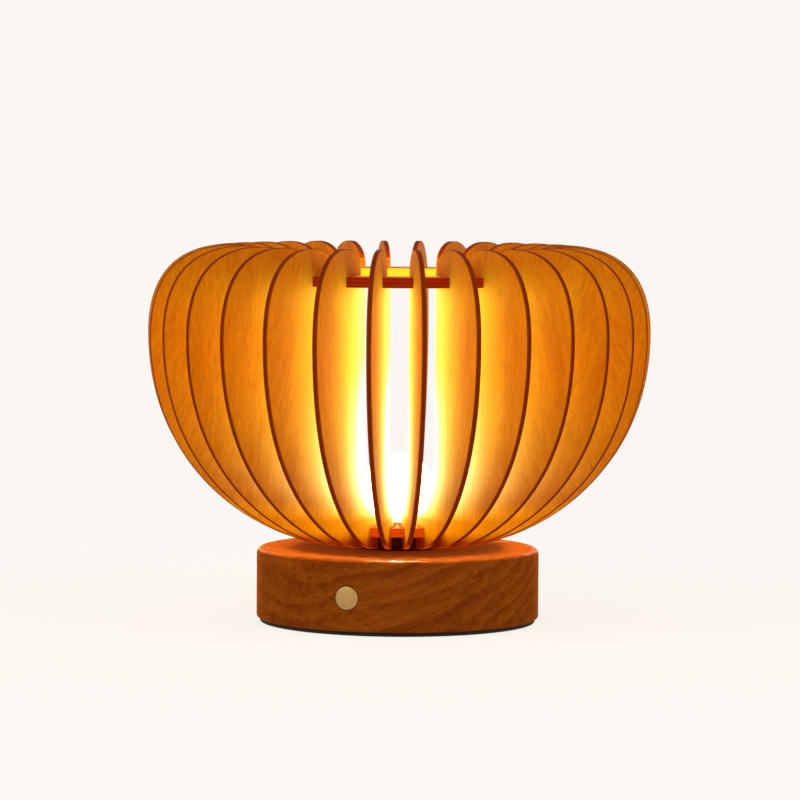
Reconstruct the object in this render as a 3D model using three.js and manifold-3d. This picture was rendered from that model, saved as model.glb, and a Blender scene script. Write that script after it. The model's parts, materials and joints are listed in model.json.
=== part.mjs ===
// Folding wooden lamp: a bowl of upright plywood fins standing on a round wooden base.
// Millimetres, +Z up. The origin lies on the floor under the middle of the base, and the front faces -Y.
// Every fin is cross-lapped into a ring near the rim and into a plate above the base.

import * as THREE from 'three';
import { mergeVertices } from 'three/addons/utils/BufferGeometryUtils.js';
import Module from 'manifold-3d';

const wasm = await Module();
wasm.setup();

// Clearances
const fitGap = 0.3;
const overrun = 5;

// Shade
const shadeDiameter = 251.4;
const finCount = 30;
const finThickness = 2.4;
const finHeight = 148.8;
const bellyRise = 105;
const shoulderRadius = 84.8;
const mouthRadius = 62.3;
const mouthDrop = 11.6;
const finFootClearance = 2.8;
const toeReach = 13;
const toeFlat = 3.5;
const lipHeight = 4.6;
const innerStraightRise = 34;
const plateThickness = 4.5;
const topRingThickness = 5;
const topRingWidth = 23.5;
const topRingProud = 0.8;
const ringCover = 1.9;
const lowerPlateRadius = 47;

// How far the curve handles of a fin's outer edge reach, as shares of the width or height they cross
const bellyFootShare = 0.24;
const bellySideShare = 0.74;
const rimSideShare = 0.735;
const rimTopShare = 0.56;

// Base, built round the cell that it holds
const baseTopRound = 3;
const baseFootRound = 1.5;
const baseWall = 15.77;
const roofThickness = 10;
const coverThickness = 2;
const coverLedge = 9;
const padThickness = 1.6;
const padInset = 1.7;
const wireHoleRadius = 4.3;

// Pedestal between the base and the lower plate
const pedestalRadius = 22;
const pedestalHeight = 8.8;
const pedestalCove = 2.2;

// Light
const holderRadius = 20;
const holderHeight = 6;
const holderFloor = 1.6;
const holderWireRadius = 3;
const ledBoardRadius = 16;
const ledBoardThickness = 1.6;
const emitterCount = 9;
const emitterCircleRadius = 10;
const emitterSize = 3;
const emitterHeight = 0.8;
const domeRadius = 18.5;
const domeHeight = 27.1;
const domeWall = 1.6;

// Push button and its switch
const buttonTurnDegrees = -20;
const buttonRadius = 5.85;
const buttonDepth = 4;
const buttonProud = 0.1;
const buttonEdge = 0.4;
const buttonTravel = 1.5;
const flangeOverhang = 1.1;
const flangeThickness = 1.2;
const stemRadius = 1.8;
const sleeveWall = 0.9;
const switchWidth = 8;
const switchDepth = 8;
const switchHeight = 4.2;
const plungerRadius = 1.1;
const plungerProud = 2.4;
const plungerDepth = 4.5;

// Control board
const boardWidth = 28;
const boardThickness = 1.6;
const boardInset = 5;
const boardLeadClearance = 4;
const bossRadius = 3;
const bossSpread = 20;
const bossSetback = 10;
const connectorWidth = 6;
const connectorDepth = 4;
const connectorHeight = 4.8;
const sideConnectorSetback = 18;
const chipSize = 5;
const chipHeight = 1.2;
const coilRadius = 3.2;
const coilHeight = 3.4;

// Battery
const cellRadius = 9.1;
const cellLength = 65;
const cellCapRadius = 3;
const cellCapHeight = 1.5;
const cellSideClearance = 10;
const cellFloorClearance = 2.2;
const cradleClearance = 0.9;
const cradleBack = 2.1;
const cradleWall = 1.5;
const cradleLength = 54;
const cradleGripShare = 0.35;

// Charging socket
const socketFlangeRadius = 5.6;
const socketFlangeThickness = 1;
const socketRadius = 4;
const socketLength = 13;
const socketBoreRadius = 2.9;
const socketBoreDepth = 9.5;
const socketPinRadius = 0.65;
const socketWall = 3;
const socketPocketRadius = 7;

// Leads
const leadRadius = 1.5;
const leadBend = 8;
const leadWallClearance = 5;

// Screws
const woodScrew = { head: 3.2, headHeight: 2, shank: 1.75, length: 14, tip: 1.5 };
const pedestalScrew = { head: 3.2, headHeight: 2, shank: 1.75, length: 17.5, tip: 1.5 };
const coverScrew = { head: 3, headHeight: 1.4, shank: 1.5, length: 12, tip: 1.5 };
const boardScrew = { head: 2.2, headHeight: 1.4, shank: 1.1, length: 8, tip: 1 };
const pedestalScrewCount = 3;
const pedestalScrewCircle = 14;
const plateScrewCount = 2;
const plateScrewCircle = 11;
const coverScrewCount = 3;

// Where the two long leads run along the wall, in degrees from +X
const batteryLeadRun = [162, 214];
const socketLeadRun = [74, -34];

// Numbers of steps around and along curves
const baseSteps = 48;
const turnedSteps = 28;
const smallSteps = 16;
const screwSteps = 10;
const roundSteps = 4;
const domeSteps = 6;
const bellySteps = 12;
const rimSteps = 8;
const cornerSteps = 5;
const ringStepsPerFin = 3;
const leadSides = 8;
const leadSteps = 12;
const longLeadSteps = 20;

// Heights worked out from the floor upwards
const bodyBottom = padThickness + fitGap;
const coverTop = bodyBottom + coverThickness;
const cellHeight = coverTop + cellFloorClearance + cellRadius;
const roofBottom = cellHeight + cellRadius + fitGap + cradleBack + fitGap;
const baseHeight = roofBottom + roofThickness;
const buttonHeight = baseHeight / 2;
const pedestalBottom = baseHeight + fitGap;
const pedestalTop = pedestalBottom + pedestalHeight;
const plateBottom = pedestalTop + fitGap;
const plateTop = plateBottom + plateThickness;
const holderBottom = plateTop + fitGap;
const holderTop = holderBottom + holderHeight;
const ledBoardBottom = holderTop - ledBoardThickness;
const ledSeat = ledBoardBottom - fitGap;
const domeBottom = holderTop + fitGap;
const finFoot = baseHeight + finFootClearance;
const finTop = finFoot + finHeight;
const topRingTop = finTop - mouthDrop - ringCover;
const topRingBottom = topRingTop - topRingThickness;

// Radii and distances worked out from the sizes above
const cradleOuter = cellRadius + fitGap + cradleWall;
const screwSetback = pedestalScrewCircle / 2 + pedestalScrew.head;
const cellOffset = screwSetback + cradleClearance + cradleOuter;
const cavityRadius = Math.hypot(cellLength / 2, cellOffset + cellRadius) + cellSideClearance;
const baseRadius = cavityRadius + baseWall;
const coverRadius = cavityRadius + coverLedge;
const toeRadius = lowerPlateRadius - toeReach;
const plateLapRadius = lowerPlateRadius - toeReach / 2;
const topRingInner = mouthRadius - topRingProud;
const topRingOuter = topRingInner + topRingWidth;
const topLapRadius = (mouthRadius + topRingOuter) / 2;
const slotWidth = finThickness + 2 * fitGap;
const boardTop = buttonHeight - switchHeight / 2 - fitGap;
const boardBottom = boardTop - boardThickness;
const boardReach = cavityRadius - boardInset;
const boardLength = boardReach - leadBend - boardLeadClearance;
const boardMiddle = boardReach - boardLength / 2;
const buttonFace = baseRadius + buttonProud;
const flangeFront = buttonFace - buttonDepth;
const flangeBack = flangeFront - flangeThickness;
const flangeRadius = buttonRadius + flangeOverhang;
const buttonBoreRadius = buttonRadius + fitGap;
const sleeveChamberRadius = flangeRadius + fitGap;
const sleeveRadius = sleeveChamberRadius + sleeveWall;
const buttonShoulder = flangeFront + fitGap;
const sleeveFront = buttonShoulder - fitGap;
const sleeveFloor = flangeBack - buttonTravel - fitGap;
const sleeveBack = sleeveFloor - sleeveWall;
const plungerTip = boardReach + plungerProud;
const socketSeat = baseRadius - socketFlangeThickness - 2 * fitGap;
const connectorMiddle = boardTop + connectorHeight / 2;
const sideConnectorPlace = -(boardReach - sideConnectorSetback);
const buttonTurn = THREE.MathUtils.degToRad(buttonTurnDegrees);
const quarterTurn = Math.PI / 2;
const fullTurn = Math.PI * 2;

// Materials
function finish(color, roughness, metalness = 0) {
  return new THREE.MeshStandardMaterial({ color, roughness, metalness });
}

const materials = {
  plywood: finish(0xd98a2f, 0.62),
  walnut: finish(0x7d431a, 0.45),
  lacquer: finish(0x1c120c, 0.5),
  felt: finish(0x17130f, 0.95),
  coverPlastic: finish(0x2a2522, 0.6),
  whitePlastic: finish(0xf2ede2, 0.45),
  opal: finish(0xfff3da, 0.35),
  brass: finish(0xb99157, 0.35, 0.9),
  darkPlastic: finish(0x1d1b1a, 0.5),
  circuit: finish(0x1f5a34, 0.5),
  aluminium: finish(0xd8d8d4, 0.4, 0.8),
  wrap: finish(0x2c5c9a, 0.35),
  steel: finish(0xb4b4b0, 0.35, 0.9),
  sheath: finish(0x2b2928, 0.6),
};

// Solids for joins and cuts
function solidOf(geometry) {
  const bare = geometry.clone();
  bare.deleteAttribute('normal');
  bare.deleteAttribute('uv');
  const merged = mergeVertices(bare);
  const corners = merged.index.array;
  const kept = [];
  for (let i = 0; i < corners.length; i += 3) {
    const [a, b, c] = [corners[i], corners[i + 1], corners[i + 2]];
    if (a !== b && b !== c && c !== a) kept.push(a, b, c);
  }
  return new wasm.Manifold(new wasm.Mesh({
    numProp: 3,
    vertProperties: Float32Array.from(merged.attributes.position.array),
    triVerts: Uint32Array.from(kept),
  }));
}

function geometryOf(solid) {
  const mesh = solid.getMesh();
  const geometry = new THREE.BufferGeometry();
  geometry.setAttribute('position', new THREE.BufferAttribute(mesh.vertProperties, mesh.numProp));
  geometry.setIndex(new THREE.BufferAttribute(mesh.triVerts, 1));
  return geometry;
}

function cut(geometry, ...cutters) {
  return geometryOf(cutters.reduce((left, cutter) => left.subtract(solidOf(cutter)), solidOf(geometry)));
}

function join(geometry, ...others) {
  return geometryOf(others.reduce((left, other) => left.add(solidOf(other)), solidOf(geometry)));
}

// A body turned about +Z from a closed outline of [radius, height] points, anticlockwise
function turned(outline, steps) {
  const points = outline.map(([radius, height]) => new THREE.Vector2(radius, height));
  const closed = points[0].x === 0 && points[points.length - 1].x === 0 ? points : [...points, points[0]];
  return new THREE.LatheGeometry(closed, steps).rotateX(quarterTurn);
}

// An upright cylinder from one height to another
function rod(radius, bottom, top, steps) {
  return turned([[0, bottom], [radius, bottom], [radius, top], [0, top]], steps);
}

function block(width, depth, bottom, top) {
  return new THREE.BoxGeometry(width, depth, top - bottom).translate(0, 0, (bottom + top) / 2);
}

// A body turned about the line that runs out of the base at the button's height, towards -Y
function turnedOutwards(outline, steps) {
  return turned(outline, steps).rotateX(quarterTurn).translate(0, 0, buttonHeight);
}

// Places evenly spread on a circle
function circlePlaces(count, radius, firstAngle) {
  return Array.from({ length: count }, (_, index) => {
    const angle = firstAngle + (index * fullTurn) / count;
    return [radius * Math.cos(angle), radius * Math.sin(angle)];
  });
}

function roundCorner(centreRadius, centreHeight, size, fromAngle, toAngle) {
  return Array.from({ length: roundSteps + 1 }, (_, step) => {
    const angle = fromAngle + ((toAngle - fromAngle) * step) / roundSteps;
    return [centreRadius + size * Math.cos(angle), centreHeight + size * Math.sin(angle)];
  });
}

function named(name, geometry, material) {
  const mesh = new THREE.Mesh(geometry, material.clone());
  mesh.name = name;
  return mesh;
}

// One fin, drawn in the plane of radius and height
function finGeometry() {
  const widest = new THREE.Vector2(shadeDiameter / 2, finFoot + bellyRise);
  const shoulder = new THREE.Vector2(shoulderRadius, finTop);
  const heel = new THREE.Vector2(toeRadius + toeFlat, finFoot);
  const belly = new THREE.CubicBezierCurve(
    heel,
    new THREE.Vector2(heel.x + bellyFootShare * (widest.x - heel.x), heel.y),
    new THREE.Vector2(widest.x, widest.y - bellySideShare * (widest.y - heel.y)),
    widest,
  );
  const rim = new THREE.CubicBezierCurve(
    widest,
    new THREE.Vector2(widest.x, widest.y + rimSideShare * (shoulder.y - widest.y)),
    new THREE.Vector2(shoulder.x + rimTopShare * (widest.x - shoulder.x), shoulder.y),
    shoulder,
  );
  const mouth = new THREE.EllipseCurve(
    shoulderRadius, finTop - mouthDrop, shoulderRadius - mouthRadius, mouthDrop, quarterTurn, Math.PI,
  );
  const innerStraight = plateTop + innerStraightRise;
  const innerRise = innerStraightRise - lipHeight;
  const bowl = new THREE.EllipseCurve(
    toeRadius, innerStraight, mouthRadius - toeRadius, innerRise, 0, -quarterTurn, true,
  );
  const topNotch = [
    [mouthRadius, topRingTop + fitGap],
    [topLapRadius + fitGap, topRingTop + fitGap],
    [topLapRadius + fitGap, topRingBottom - fitGap],
    [mouthRadius, topRingBottom - fitGap],
  ];
  const plateNotch = [
    [toeRadius, plateTop + fitGap],
    [plateLapRadius + fitGap, plateTop + fitGap],
    [plateLapRadius + fitGap, plateBottom - fitGap],
    [toeRadius, plateBottom - fitGap],
  ];
  const outline = [
    new THREE.Vector2(toeRadius, finFoot),
    ...belly.getPoints(bellySteps),
    ...rim.getPoints(rimSteps).slice(1),
    ...mouth.getPoints(cornerSteps).slice(1),
    ...topNotch.map(([radius, height]) => new THREE.Vector2(radius, height)),
    ...bowl.getPoints(cornerSteps),
    ...plateNotch.map(([radius, height]) => new THREE.Vector2(radius, height)),
  ];
  const options = { depth: finThickness, bevelEnabled: false };
  const geometry = new THREE.ExtrudeGeometry(new THREE.Shape(outline), options);
  return geometry.translate(0, 0, -finThickness / 2).rotateX(quarterTurn);
}

// The fins stand at equal angles, with the front of the lamp midway between the first and the last
function fins() {
  const geometry = finGeometry();
  return Array.from({ length: finCount }, (_, index) => {
    const number = String(index + 1).padStart(2, '0');
    const fin = named(`fin_${number}`, geometry, materials.plywood);
    fin.rotation.z = -quarterTurn + ((index + 0.5) * fullTurn) / finCount;
    return fin;
  });
}

// A flat plywood ring with one slot for each fin, cut in from its outer edge
function slottedRing(outerRadius, slotEnd, thickness, holes) {
  const half = slotWidth / 2;
  const outerHalfAngle = Math.asin(half / outerRadius);
  const innerHalfAngle = Math.asin(half / slotEnd);
  const points = [];
  for (let index = 0; index < finCount; index += 1) {
    const slot = -quarterTurn + ((index + 0.5) * fullTurn) / finCount;
    const next = slot + fullTurn / finCount;
    points.push([outerRadius, slot - outerHalfAngle], [slotEnd, slot - innerHalfAngle]);
    points.push([slotEnd, slot + innerHalfAngle], [outerRadius, slot + outerHalfAngle]);
    const land = next - slot - 2 * outerHalfAngle;
    for (let step = 1; step < ringStepsPerFin; step += 1) {
      points.push([outerRadius, slot + outerHalfAngle + (land * step) / ringStepsPerFin]);
    }
  }
  const corners = points.map(([radius, angle]) => (
    new THREE.Vector2(radius * Math.cos(angle), radius * Math.sin(angle))
  ));
  const shape = new THREE.Shape(corners);
  for (const { x, y, radius, steps } of holes) {
    const hole = circlePlaces(steps, radius, 0).map(([dx, dy]) => new THREE.Vector2(x + dx, y + dy));
    shape.holes.push(new THREE.Path(hole));
  }
  return new THREE.ExtrudeGeometry(shape, { depth: thickness, bevelEnabled: false });
}

function topRing() {
  const mouth = { x: 0, y: 0, radius: topRingInner, steps: finCount * ringStepsPerFin };
  const geometry = slottedRing(topRingOuter, topLapRadius, topRingThickness, [mouth]);
  const ring = named('top_ring', geometry, materials.plywood);
  ring.position.z = topRingBottom;
  return ring;
}

function lowerPlate() {
  const holeRadius = woodScrew.shank + fitGap;
  const screwHoles = circlePlaces(plateScrewCount, plateScrewCircle, buttonTurn)
    .map(([x, y]) => ({ x, y, radius: holeRadius, steps: screwSteps }));
  const wireHole = { x: 0, y: 0, radius: wireHoleRadius, steps: smallSteps };
  const holes = [wireHole, ...screwHoles];
  const geometry = slottedRing(lowerPlateRadius, plateLapRadius, plateThickness, holes);
  const plate = named('lower_plate', geometry, materials.plywood);
  plate.position.z = plateBottom;
  return plate;
}

// A screw standing on its head with the tip up; the underside of the head is at height zero
function screwGeometry({ head, headHeight, shank, length, tip }, countersunk) {
  const headEdge = countersunk
    ? [[head, -headHeight], [shank, 0]]
    : [[head - shank / 2, -headHeight], [head, -headHeight / 2], [head, 0], [shank, 0]];
  return turned([
    [0, -headHeight], ...headEdge, [shank, length - tip], [0, length],
  ], screwSteps);
}

function screws(name, count, geometry, places, height) {
  return places.slice(0, count).map(([x, y], index) => {
    const screw = named(`${name}_${index + 1}`, geometry, materials.steel);
    screw.position.set(x, y, height);
    return screw;
  });
}

const pedestalScrewPlaces = circlePlaces(pedestalScrewCount, pedestalScrewCircle, -quarterTurn);
const plateScrewPlaces = circlePlaces(plateScrewCount, plateScrewCircle, 0);
const coverScrewPlaces = circlePlaces(coverScrewCount, cavityRadius + coverLedge / 2, 0);
const bossPlaces = [-1, 1].map((side) => [
  (side * bossSpread) / 2, -(boardMiddle - boardLength / 2 + bossSetback),
]);

// The wooden body, hollow from below, with a ledge for the cover
function baseBody() {
  const body = turned([
    [wireHoleRadius, roofBottom],
    [cavityRadius, roofBottom],
    [cavityRadius, coverTop + fitGap],
    [coverRadius + fitGap, coverTop + fitGap],
    [coverRadius + fitGap, bodyBottom],
    ...roundCorner(baseRadius - baseFootRound, bodyBottom + baseFootRound, baseFootRound, -quarterTurn, 0),
    ...roundCorner(baseRadius - baseTopRound, baseHeight - baseTopRound, baseTopRound, 0, quarterTurn),
    [wireHoleRadius, baseHeight],
  ], baseSteps);
  const bosses = bossPlaces.map(([x, y]) => (
    rod(bossRadius, boardTop + fitGap, roofBottom + overrun, smallSteps).translate(x, y, 0)
  ));
  const buttonBore = turnedOutwards([
    [0, cavityRadius - overrun],
    [sleeveRadius + fitGap, cavityRadius - overrun],
    [sleeveRadius + fitGap, buttonShoulder],
    [buttonBoreRadius, buttonShoulder],
    [buttonBoreRadius, baseRadius + overrun],
    [0, baseRadius + overrun],
  ], smallSteps);
  const socketBore = turnedOutwards([
    [0, cavityRadius - overrun],
    [socketPocketRadius, cavityRadius - overrun],
    [socketPocketRadius, socketSeat - socketWall],
    [socketRadius + fitGap, socketSeat - socketWall],
    [socketRadius + fitGap, socketSeat],
    [socketFlangeRadius + fitGap, socketSeat],
    [socketFlangeRadius + fitGap, baseRadius + overrun],
    [0, baseRadius + overrun],
  ], smallSteps).rotateZ(Math.PI);
  const pedestalHoles = pedestalScrewPlaces.map(([x, y]) => (
    rod(pedestalScrew.shank + fitGap, roofBottom - overrun, baseHeight + overrun, screwSteps)
      .translate(x, y, 0)
  ));
  const coverTip = bodyBottom + coverScrew.headHeight + coverScrew.length + fitGap;
  const coverHoles = coverScrewPlaces.map(([x, y]) => (
    rod(coverScrew.shank + fitGap, bodyBottom - overrun, coverTip, screwSteps).translate(x, y, 0)
  ));
  const boardTip = boardBottom - fitGap + boardScrew.length + fitGap;
  const boardHoles = bossPlaces.map(([x, y]) => (
    rod(boardScrew.shank + fitGap, boardTop - overrun, boardTip, screwSteps).translate(x, y, 0)
  ));
  const holes = [buttonBore, socketBore, ...pedestalHoles, ...coverHoles, ...boardHoles];
  return named('base_body', cut(join(body, ...bosses), ...holes), materials.walnut);
}

function baseCover() {
  const plate = rod(coverRadius, bodyBottom, coverTop, baseSteps);
  const sink = turned([
    [0, bodyBottom - overrun],
    [coverScrew.head + fitGap, bodyBottom - overrun],
    [coverScrew.head + fitGap, bodyBottom + fitGap],
    [coverScrew.shank + fitGap, bodyBottom + coverScrew.headHeight + fitGap],
    [coverScrew.shank + fitGap, coverTop + overrun],
    [0, coverTop + overrun],
  ], screwSteps);
  const sinks = coverScrewPlaces.map(([x, y]) => sink.clone().translate(x, y, 0));
  return named('base_cover', cut(plate, ...sinks), materials.coverPlastic);
}

function footPad() {
  return named('foot_pad', rod(baseRadius - padInset, 0, padThickness, baseSteps), materials.felt);
}

// A dark turned spacer with a shallow cove round its waist
function pedestal() {
  const waist = pedestalRadius - pedestalCove;
  const lip = pedestalCove / 2;
  const body = turned([
    [wireHoleRadius, pedestalBottom],
    [pedestalRadius, pedestalBottom],
    [pedestalRadius, pedestalBottom + lip],
    [waist, pedestalBottom + lip + pedestalCove],
    [waist, pedestalTop - lip - pedestalCove],
    [pedestalRadius, pedestalTop - lip],
    [pedestalRadius, pedestalTop],
    [wireHoleRadius, pedestalTop],
  ], turnedSteps);
  const upTip = roofBottom - fitGap + pedestalScrew.length + fitGap;
  const upHoles = pedestalScrewPlaces.map(([x, y]) => (
    rod(pedestalScrew.shank + fitGap, pedestalBottom - overrun, upTip, screwSteps).translate(x, y, 0)
  ));
  const downTip = holderBottom + holderFloor - woodScrew.length;
  const downHoles = plateScrewPlaces.map(([x, y]) => (
    rod(woodScrew.shank + fitGap, downTip, pedestalTop + overrun, screwSteps).translate(x, y, 0)
  ));
  return named('pedestal', cut(body, ...upHoles, ...downHoles), materials.lacquer);
}

// White holder: a recess for the light board, with the screw heads sunk below it
function ledHolder() {
  const body = turned([
    [holderWireRadius, holderBottom],
    [holderRadius, holderBottom],
    [holderRadius, holderTop],
    [ledBoardRadius + fitGap, holderTop],
    [ledBoardRadius + fitGap, ledSeat],
    [holderWireRadius, ledSeat],
  ], turnedSteps);
  const sink = turned([
    [0, holderBottom - overrun],
    [woodScrew.shank + fitGap, holderBottom - overrun],
    [woodScrew.shank + fitGap, holderBottom + holderFloor],
    [woodScrew.head + fitGap, holderBottom + holderFloor],
    [woodScrew.head + fitGap, holderTop + overrun],
    [0, holderTop + overrun],
  ], screwSteps);
  const sinks = plateScrewPlaces.map(([x, y]) => sink.clone().translate(x, y, 0));
  return named('led_holder', cut(body, ...sinks), materials.whitePlastic);
}

function ledBoard() {
  const disc = rod(ledBoardRadius, ledBoardBottom, ledBoardBottom + ledBoardThickness, turnedSteps);
  const emitterTop = ledBoardBottom + ledBoardThickness + emitterHeight;
  const emitters = circlePlaces(emitterCount, emitterCircleRadius, 0).map(([x, y]) => (
    block(emitterSize, emitterSize, ledBoardBottom + ledBoardThickness / 2, emitterTop).translate(x, y, 0)
  ));
  return named('led_board', join(disc, ...emitters), materials.aluminium);
}

// Opal diffuser: a straight skirt under a half globe
function diffuser() {
  const springing = domeBottom + domeHeight - domeRadius;
  const arc = (radius, from, to) => Array.from({ length: domeSteps + 1 }, (_, step) => {
    const angle = from + ((to - from) * step) / domeSteps;
    const across = step === domeSteps && to === quarterTurn ? 0 : radius * Math.cos(angle);
    return [across, springing + radius * Math.sin(angle)];
  });
  const innerRadius = domeRadius - domeWall;
  const inner = arc(innerRadius, 0, quarterTurn).reverse();
  const outer = arc(domeRadius, 0, quarterTurn);
  const geometry = turned([
    ...inner, [innerRadius, domeBottom], [domeRadius, domeBottom], ...outer,
  ], turnedSteps);
  return named('diffuser', geometry, materials.opal);
}

// Button cap with the flange that keeps it in its sleeve and the stem that works the switch
function buttonCap() {
  const geometry = turnedOutwards([
    [0, plungerTip + fitGap],
    [stemRadius, plungerTip + fitGap],
    [stemRadius, flangeBack],
    [flangeRadius, flangeBack],
    [flangeRadius, flangeFront],
    [buttonRadius, flangeFront],
    [buttonRadius, buttonFace - buttonEdge],
    [buttonRadius - buttonEdge, buttonFace],
    [0, buttonFace],
  ], smallSteps);
  return named('button_cap', geometry, materials.brass);
}

// Cup behind the wood's lip: it holds the button's flange, and its floor guides the stem
function buttonSleeve() {
  const geometry = turnedOutwards([
    [stemRadius + fitGap, sleeveBack],
    [sleeveRadius, sleeveBack],
    [sleeveRadius, sleeveFront],
    [sleeveChamberRadius, sleeveFront],
    [sleeveChamberRadius, sleeveFloor],
    [stemRadius + fitGap, sleeveFloor],
  ], smallSteps);
  return named('button_sleeve', geometry, materials.darkPlastic);
}

function switchBody() {
  const body = block(switchWidth, switchDepth, buttonHeight - switchHeight / 2, buttonHeight + switchHeight / 2)
    .translate(0, -(boardReach - switchDepth / 2), 0);
  const boreEnd = boardReach - plungerDepth - buttonTravel - fitGap;
  const boreRadius = plungerRadius + fitGap;
  const bore = turnedOutwards([
    [0, boreEnd], [boreRadius, boreEnd], [boreRadius, boardReach + overrun], [0, boardReach + overrun],
  ], screwSteps);
  return named('switch_body', cut(body, bore), materials.darkPlastic);
}

function switchPlunger() {
  const back = boardReach - plungerDepth;
  const geometry = turnedOutwards([
    [0, back], [plungerRadius, back], [plungerRadius, plungerTip], [0, plungerTip],
  ], screwSteps);
  return named('switch_plunger', geometry, materials.whitePlastic);
}

// Board with its connectors, a coil and a chip, hung from two bosses under the roof
function controlBoard() {
  const sheet = block(boardWidth, boardLength, boardBottom, boardTop).translate(0, -boardMiddle, 0);
  const low = boardTop - boardThickness / 2;
  const connectorTop = boardTop + connectorHeight;
  const lampConnector = block(connectorWidth, connectorDepth, low, connectorTop)
    .translate(0, -(boardReach - boardLength + connectorDepth / 2), 0);
  const sideConnectors = [-1, 1].map((side) => (
    block(connectorDepth, connectorWidth, low, connectorTop)
      .translate((side * (boardWidth - connectorDepth)) / 2, sideConnectorPlace, 0)
  ));
  const chip = block(chipSize, chipSize, low, boardTop + chipHeight)
    .translate(-chipSize / 2, -boardMiddle, 0);
  const coil = rod(coilRadius, low, boardTop + coilHeight, smallSteps)
    .translate(coilRadius + chipSize / 2, -boardMiddle, 0);
  const parts = join(sheet, lampConnector, ...sideConnectors, chip, coil);
  const holes = bossPlaces.map(([x, y]) => (
    rod(boardScrew.shank + fitGap, boardBottom - overrun, boardTop + overrun, screwSteps).translate(x, y, 0)
  ));
  return named('control_board', cut(parts, ...holes), materials.circuit);
}

function batteryCell() {
  const geometry = turned([
    [0, -cellLength / 2],
    [cellRadius, -cellLength / 2],
    [cellRadius, cellLength / 2 - cellCapHeight],
    [cellCapRadius, cellLength / 2 - cellCapHeight],
    [cellCapRadius, cellLength / 2],
    [0, cellLength / 2],
  ], smallSteps).rotateY(quarterTurn).translate(0, cellOffset, cellHeight);
  return named('battery_cell', geometry, materials.wrap);
}

// A saddle under the roof whose two arms grip the cell
function batteryCradle() {
  const inner = cellRadius + fitGap;
  const outer = cradleOuter;
  const grip = -Math.asin(cradleGripShare);
  const top = cellRadius + fitGap + cradleBack;
  const shape = new THREE.Shape();
  shape.moveTo(-outer, top);
  shape.lineTo(-outer, 0);
  shape.absarc(0, 0, outer, Math.PI, Math.PI - grip, false);
  shape.absarc(0, 0, inner, Math.PI - grip, grip, true);
  shape.absarc(0, 0, outer, grip, 0, false);
  shape.lineTo(outer, top);
  const options = { depth: cradleLength, bevelEnabled: false, curveSegments: roundSteps };
  const geometry = new THREE.ExtrudeGeometry(shape, options)
    .translate(0, 0, -cradleLength / 2)
    .rotateX(quarterTurn)
    .rotateZ(quarterTurn)
    .translate(0, cellOffset, cellHeight);
  return named('battery_cradle', geometry, materials.darkPlastic);
}

// Charging socket in the back of the base, opposite the button, with its centre pin
function chargingSocket() {
  const seat = socketSeat + fitGap;
  const face = seat + socketFlangeThickness;
  const back = seat - socketLength;
  const floor = face - socketBoreDepth;
  const geometry = turnedOutwards([
    [0, back],
    [socketRadius, back],
    [socketRadius, seat],
    [socketFlangeRadius, seat],
    [socketFlangeRadius, face],
    [socketBoreRadius, face],
    [socketBoreRadius, floor],
    [socketPinRadius, floor],
    [socketPinRadius, face - socketFlangeThickness],
    [0, face - socketFlangeThickness],
  ], smallSteps).rotateZ(Math.PI);
  return named('charging_socket', geometry, materials.darkPlastic);
}

// A round lead along points that it passes through
function lead(name, points, steps) {
  const path = new THREE.CatmullRomCurve3(points.map((point) => new THREE.Vector3(...point)));
  const section = new THREE.Shape(
    circlePlaces(leadSides, leadRadius, 0).map(([x, y]) => new THREE.Vector2(x, y)),
  );
  const geometry = new THREE.ExtrudeGeometry(section, { steps, extrudePath: path, bevelEnabled: false });
  return named(name, geometry, materials.sheath);
}

// From the light board down the middle, then forward to the connector at the end of the board
function ledLead() {
  const connectorFace = -(boardReach - boardLength) + fitGap;
  const bendCentre = connectorMiddle + leadBend;
  const bend = Array.from({ length: roundSteps + 1 }, (_, step) => {
    const angle = (quarterTurn * step) / roundSteps;
    return [0, -leadBend * (1 - Math.cos(angle)), bendCentre - leadBend * Math.sin(angle)];
  });
  return lead('led_lead', [
    [0, 0, ledBoardBottom - fitGap],
    [0, 0, plateTop],
    [0, 0, baseHeight],
    ...bend,
    [0, connectorFace, connectorMiddle],
  ], leadSteps);
}

// A lead that follows the cavity's wall from one angle to another and ends at a side connector
function wallLead(name, start, second, [fromDegrees, toDegrees], side) {
  const run = cavityRadius - leadWallClearance;
  const connectorFace = side * (boardWidth / 2 + fitGap);
  const along = Array.from({ length: roundSteps + 1 }, (_, step) => {
    const share = step / roundSteps;
    const angle = THREE.MathUtils.degToRad(fromDegrees + (toDegrees - fromDegrees) * share);
    const height = start[2] + (connectorMiddle - start[2]) * share;
    return [run * Math.cos(angle), run * Math.sin(angle), height];
  });
  return lead(name, [
    start,
    second,
    ...along,
    [connectorFace + side * leadRadius * 3, sideConnectorPlace, connectorMiddle],
    [connectorFace, sideConnectorPlace, connectorMiddle],
  ], longLeadSteps);
}

// From the end of the cell round to the connector on the left of the board
function batteryLead() {
  const cellEnd = -(cellLength / 2 + fitGap);
  const start = [cellEnd, cellOffset, cellHeight];
  const second = [cellEnd - leadRadius * 2, cellOffset, cellHeight];
  return wallLead('battery_lead', start, second, batteryLeadRun, -1);
}

// From the charging socket round the other side to the connector on the right of the board
function socketLead() {
  const socketBack = socketSeat - socketLength;
  const start = [0, socketBack, buttonHeight];
  const second = [0, socketBack - leadRadius * 2, buttonHeight];
  return wallLead('socket_lead', start, second, socketLeadRun, 1);
}

// Screws, tip up or tip down
function pedestalScrews() {
  const geometry = screwGeometry(pedestalScrew, false);
  return screws('pedestal_screw', pedestalScrewCount, geometry, pedestalScrewPlaces, roofBottom - fitGap);
}

function plateScrews() {
  const geometry = screwGeometry(woodScrew, false).rotateX(Math.PI);
  const seat = holderBottom + holderFloor + fitGap;
  return screws('plate_screw', plateScrewCount, geometry, plateScrewPlaces, seat);
}

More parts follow.
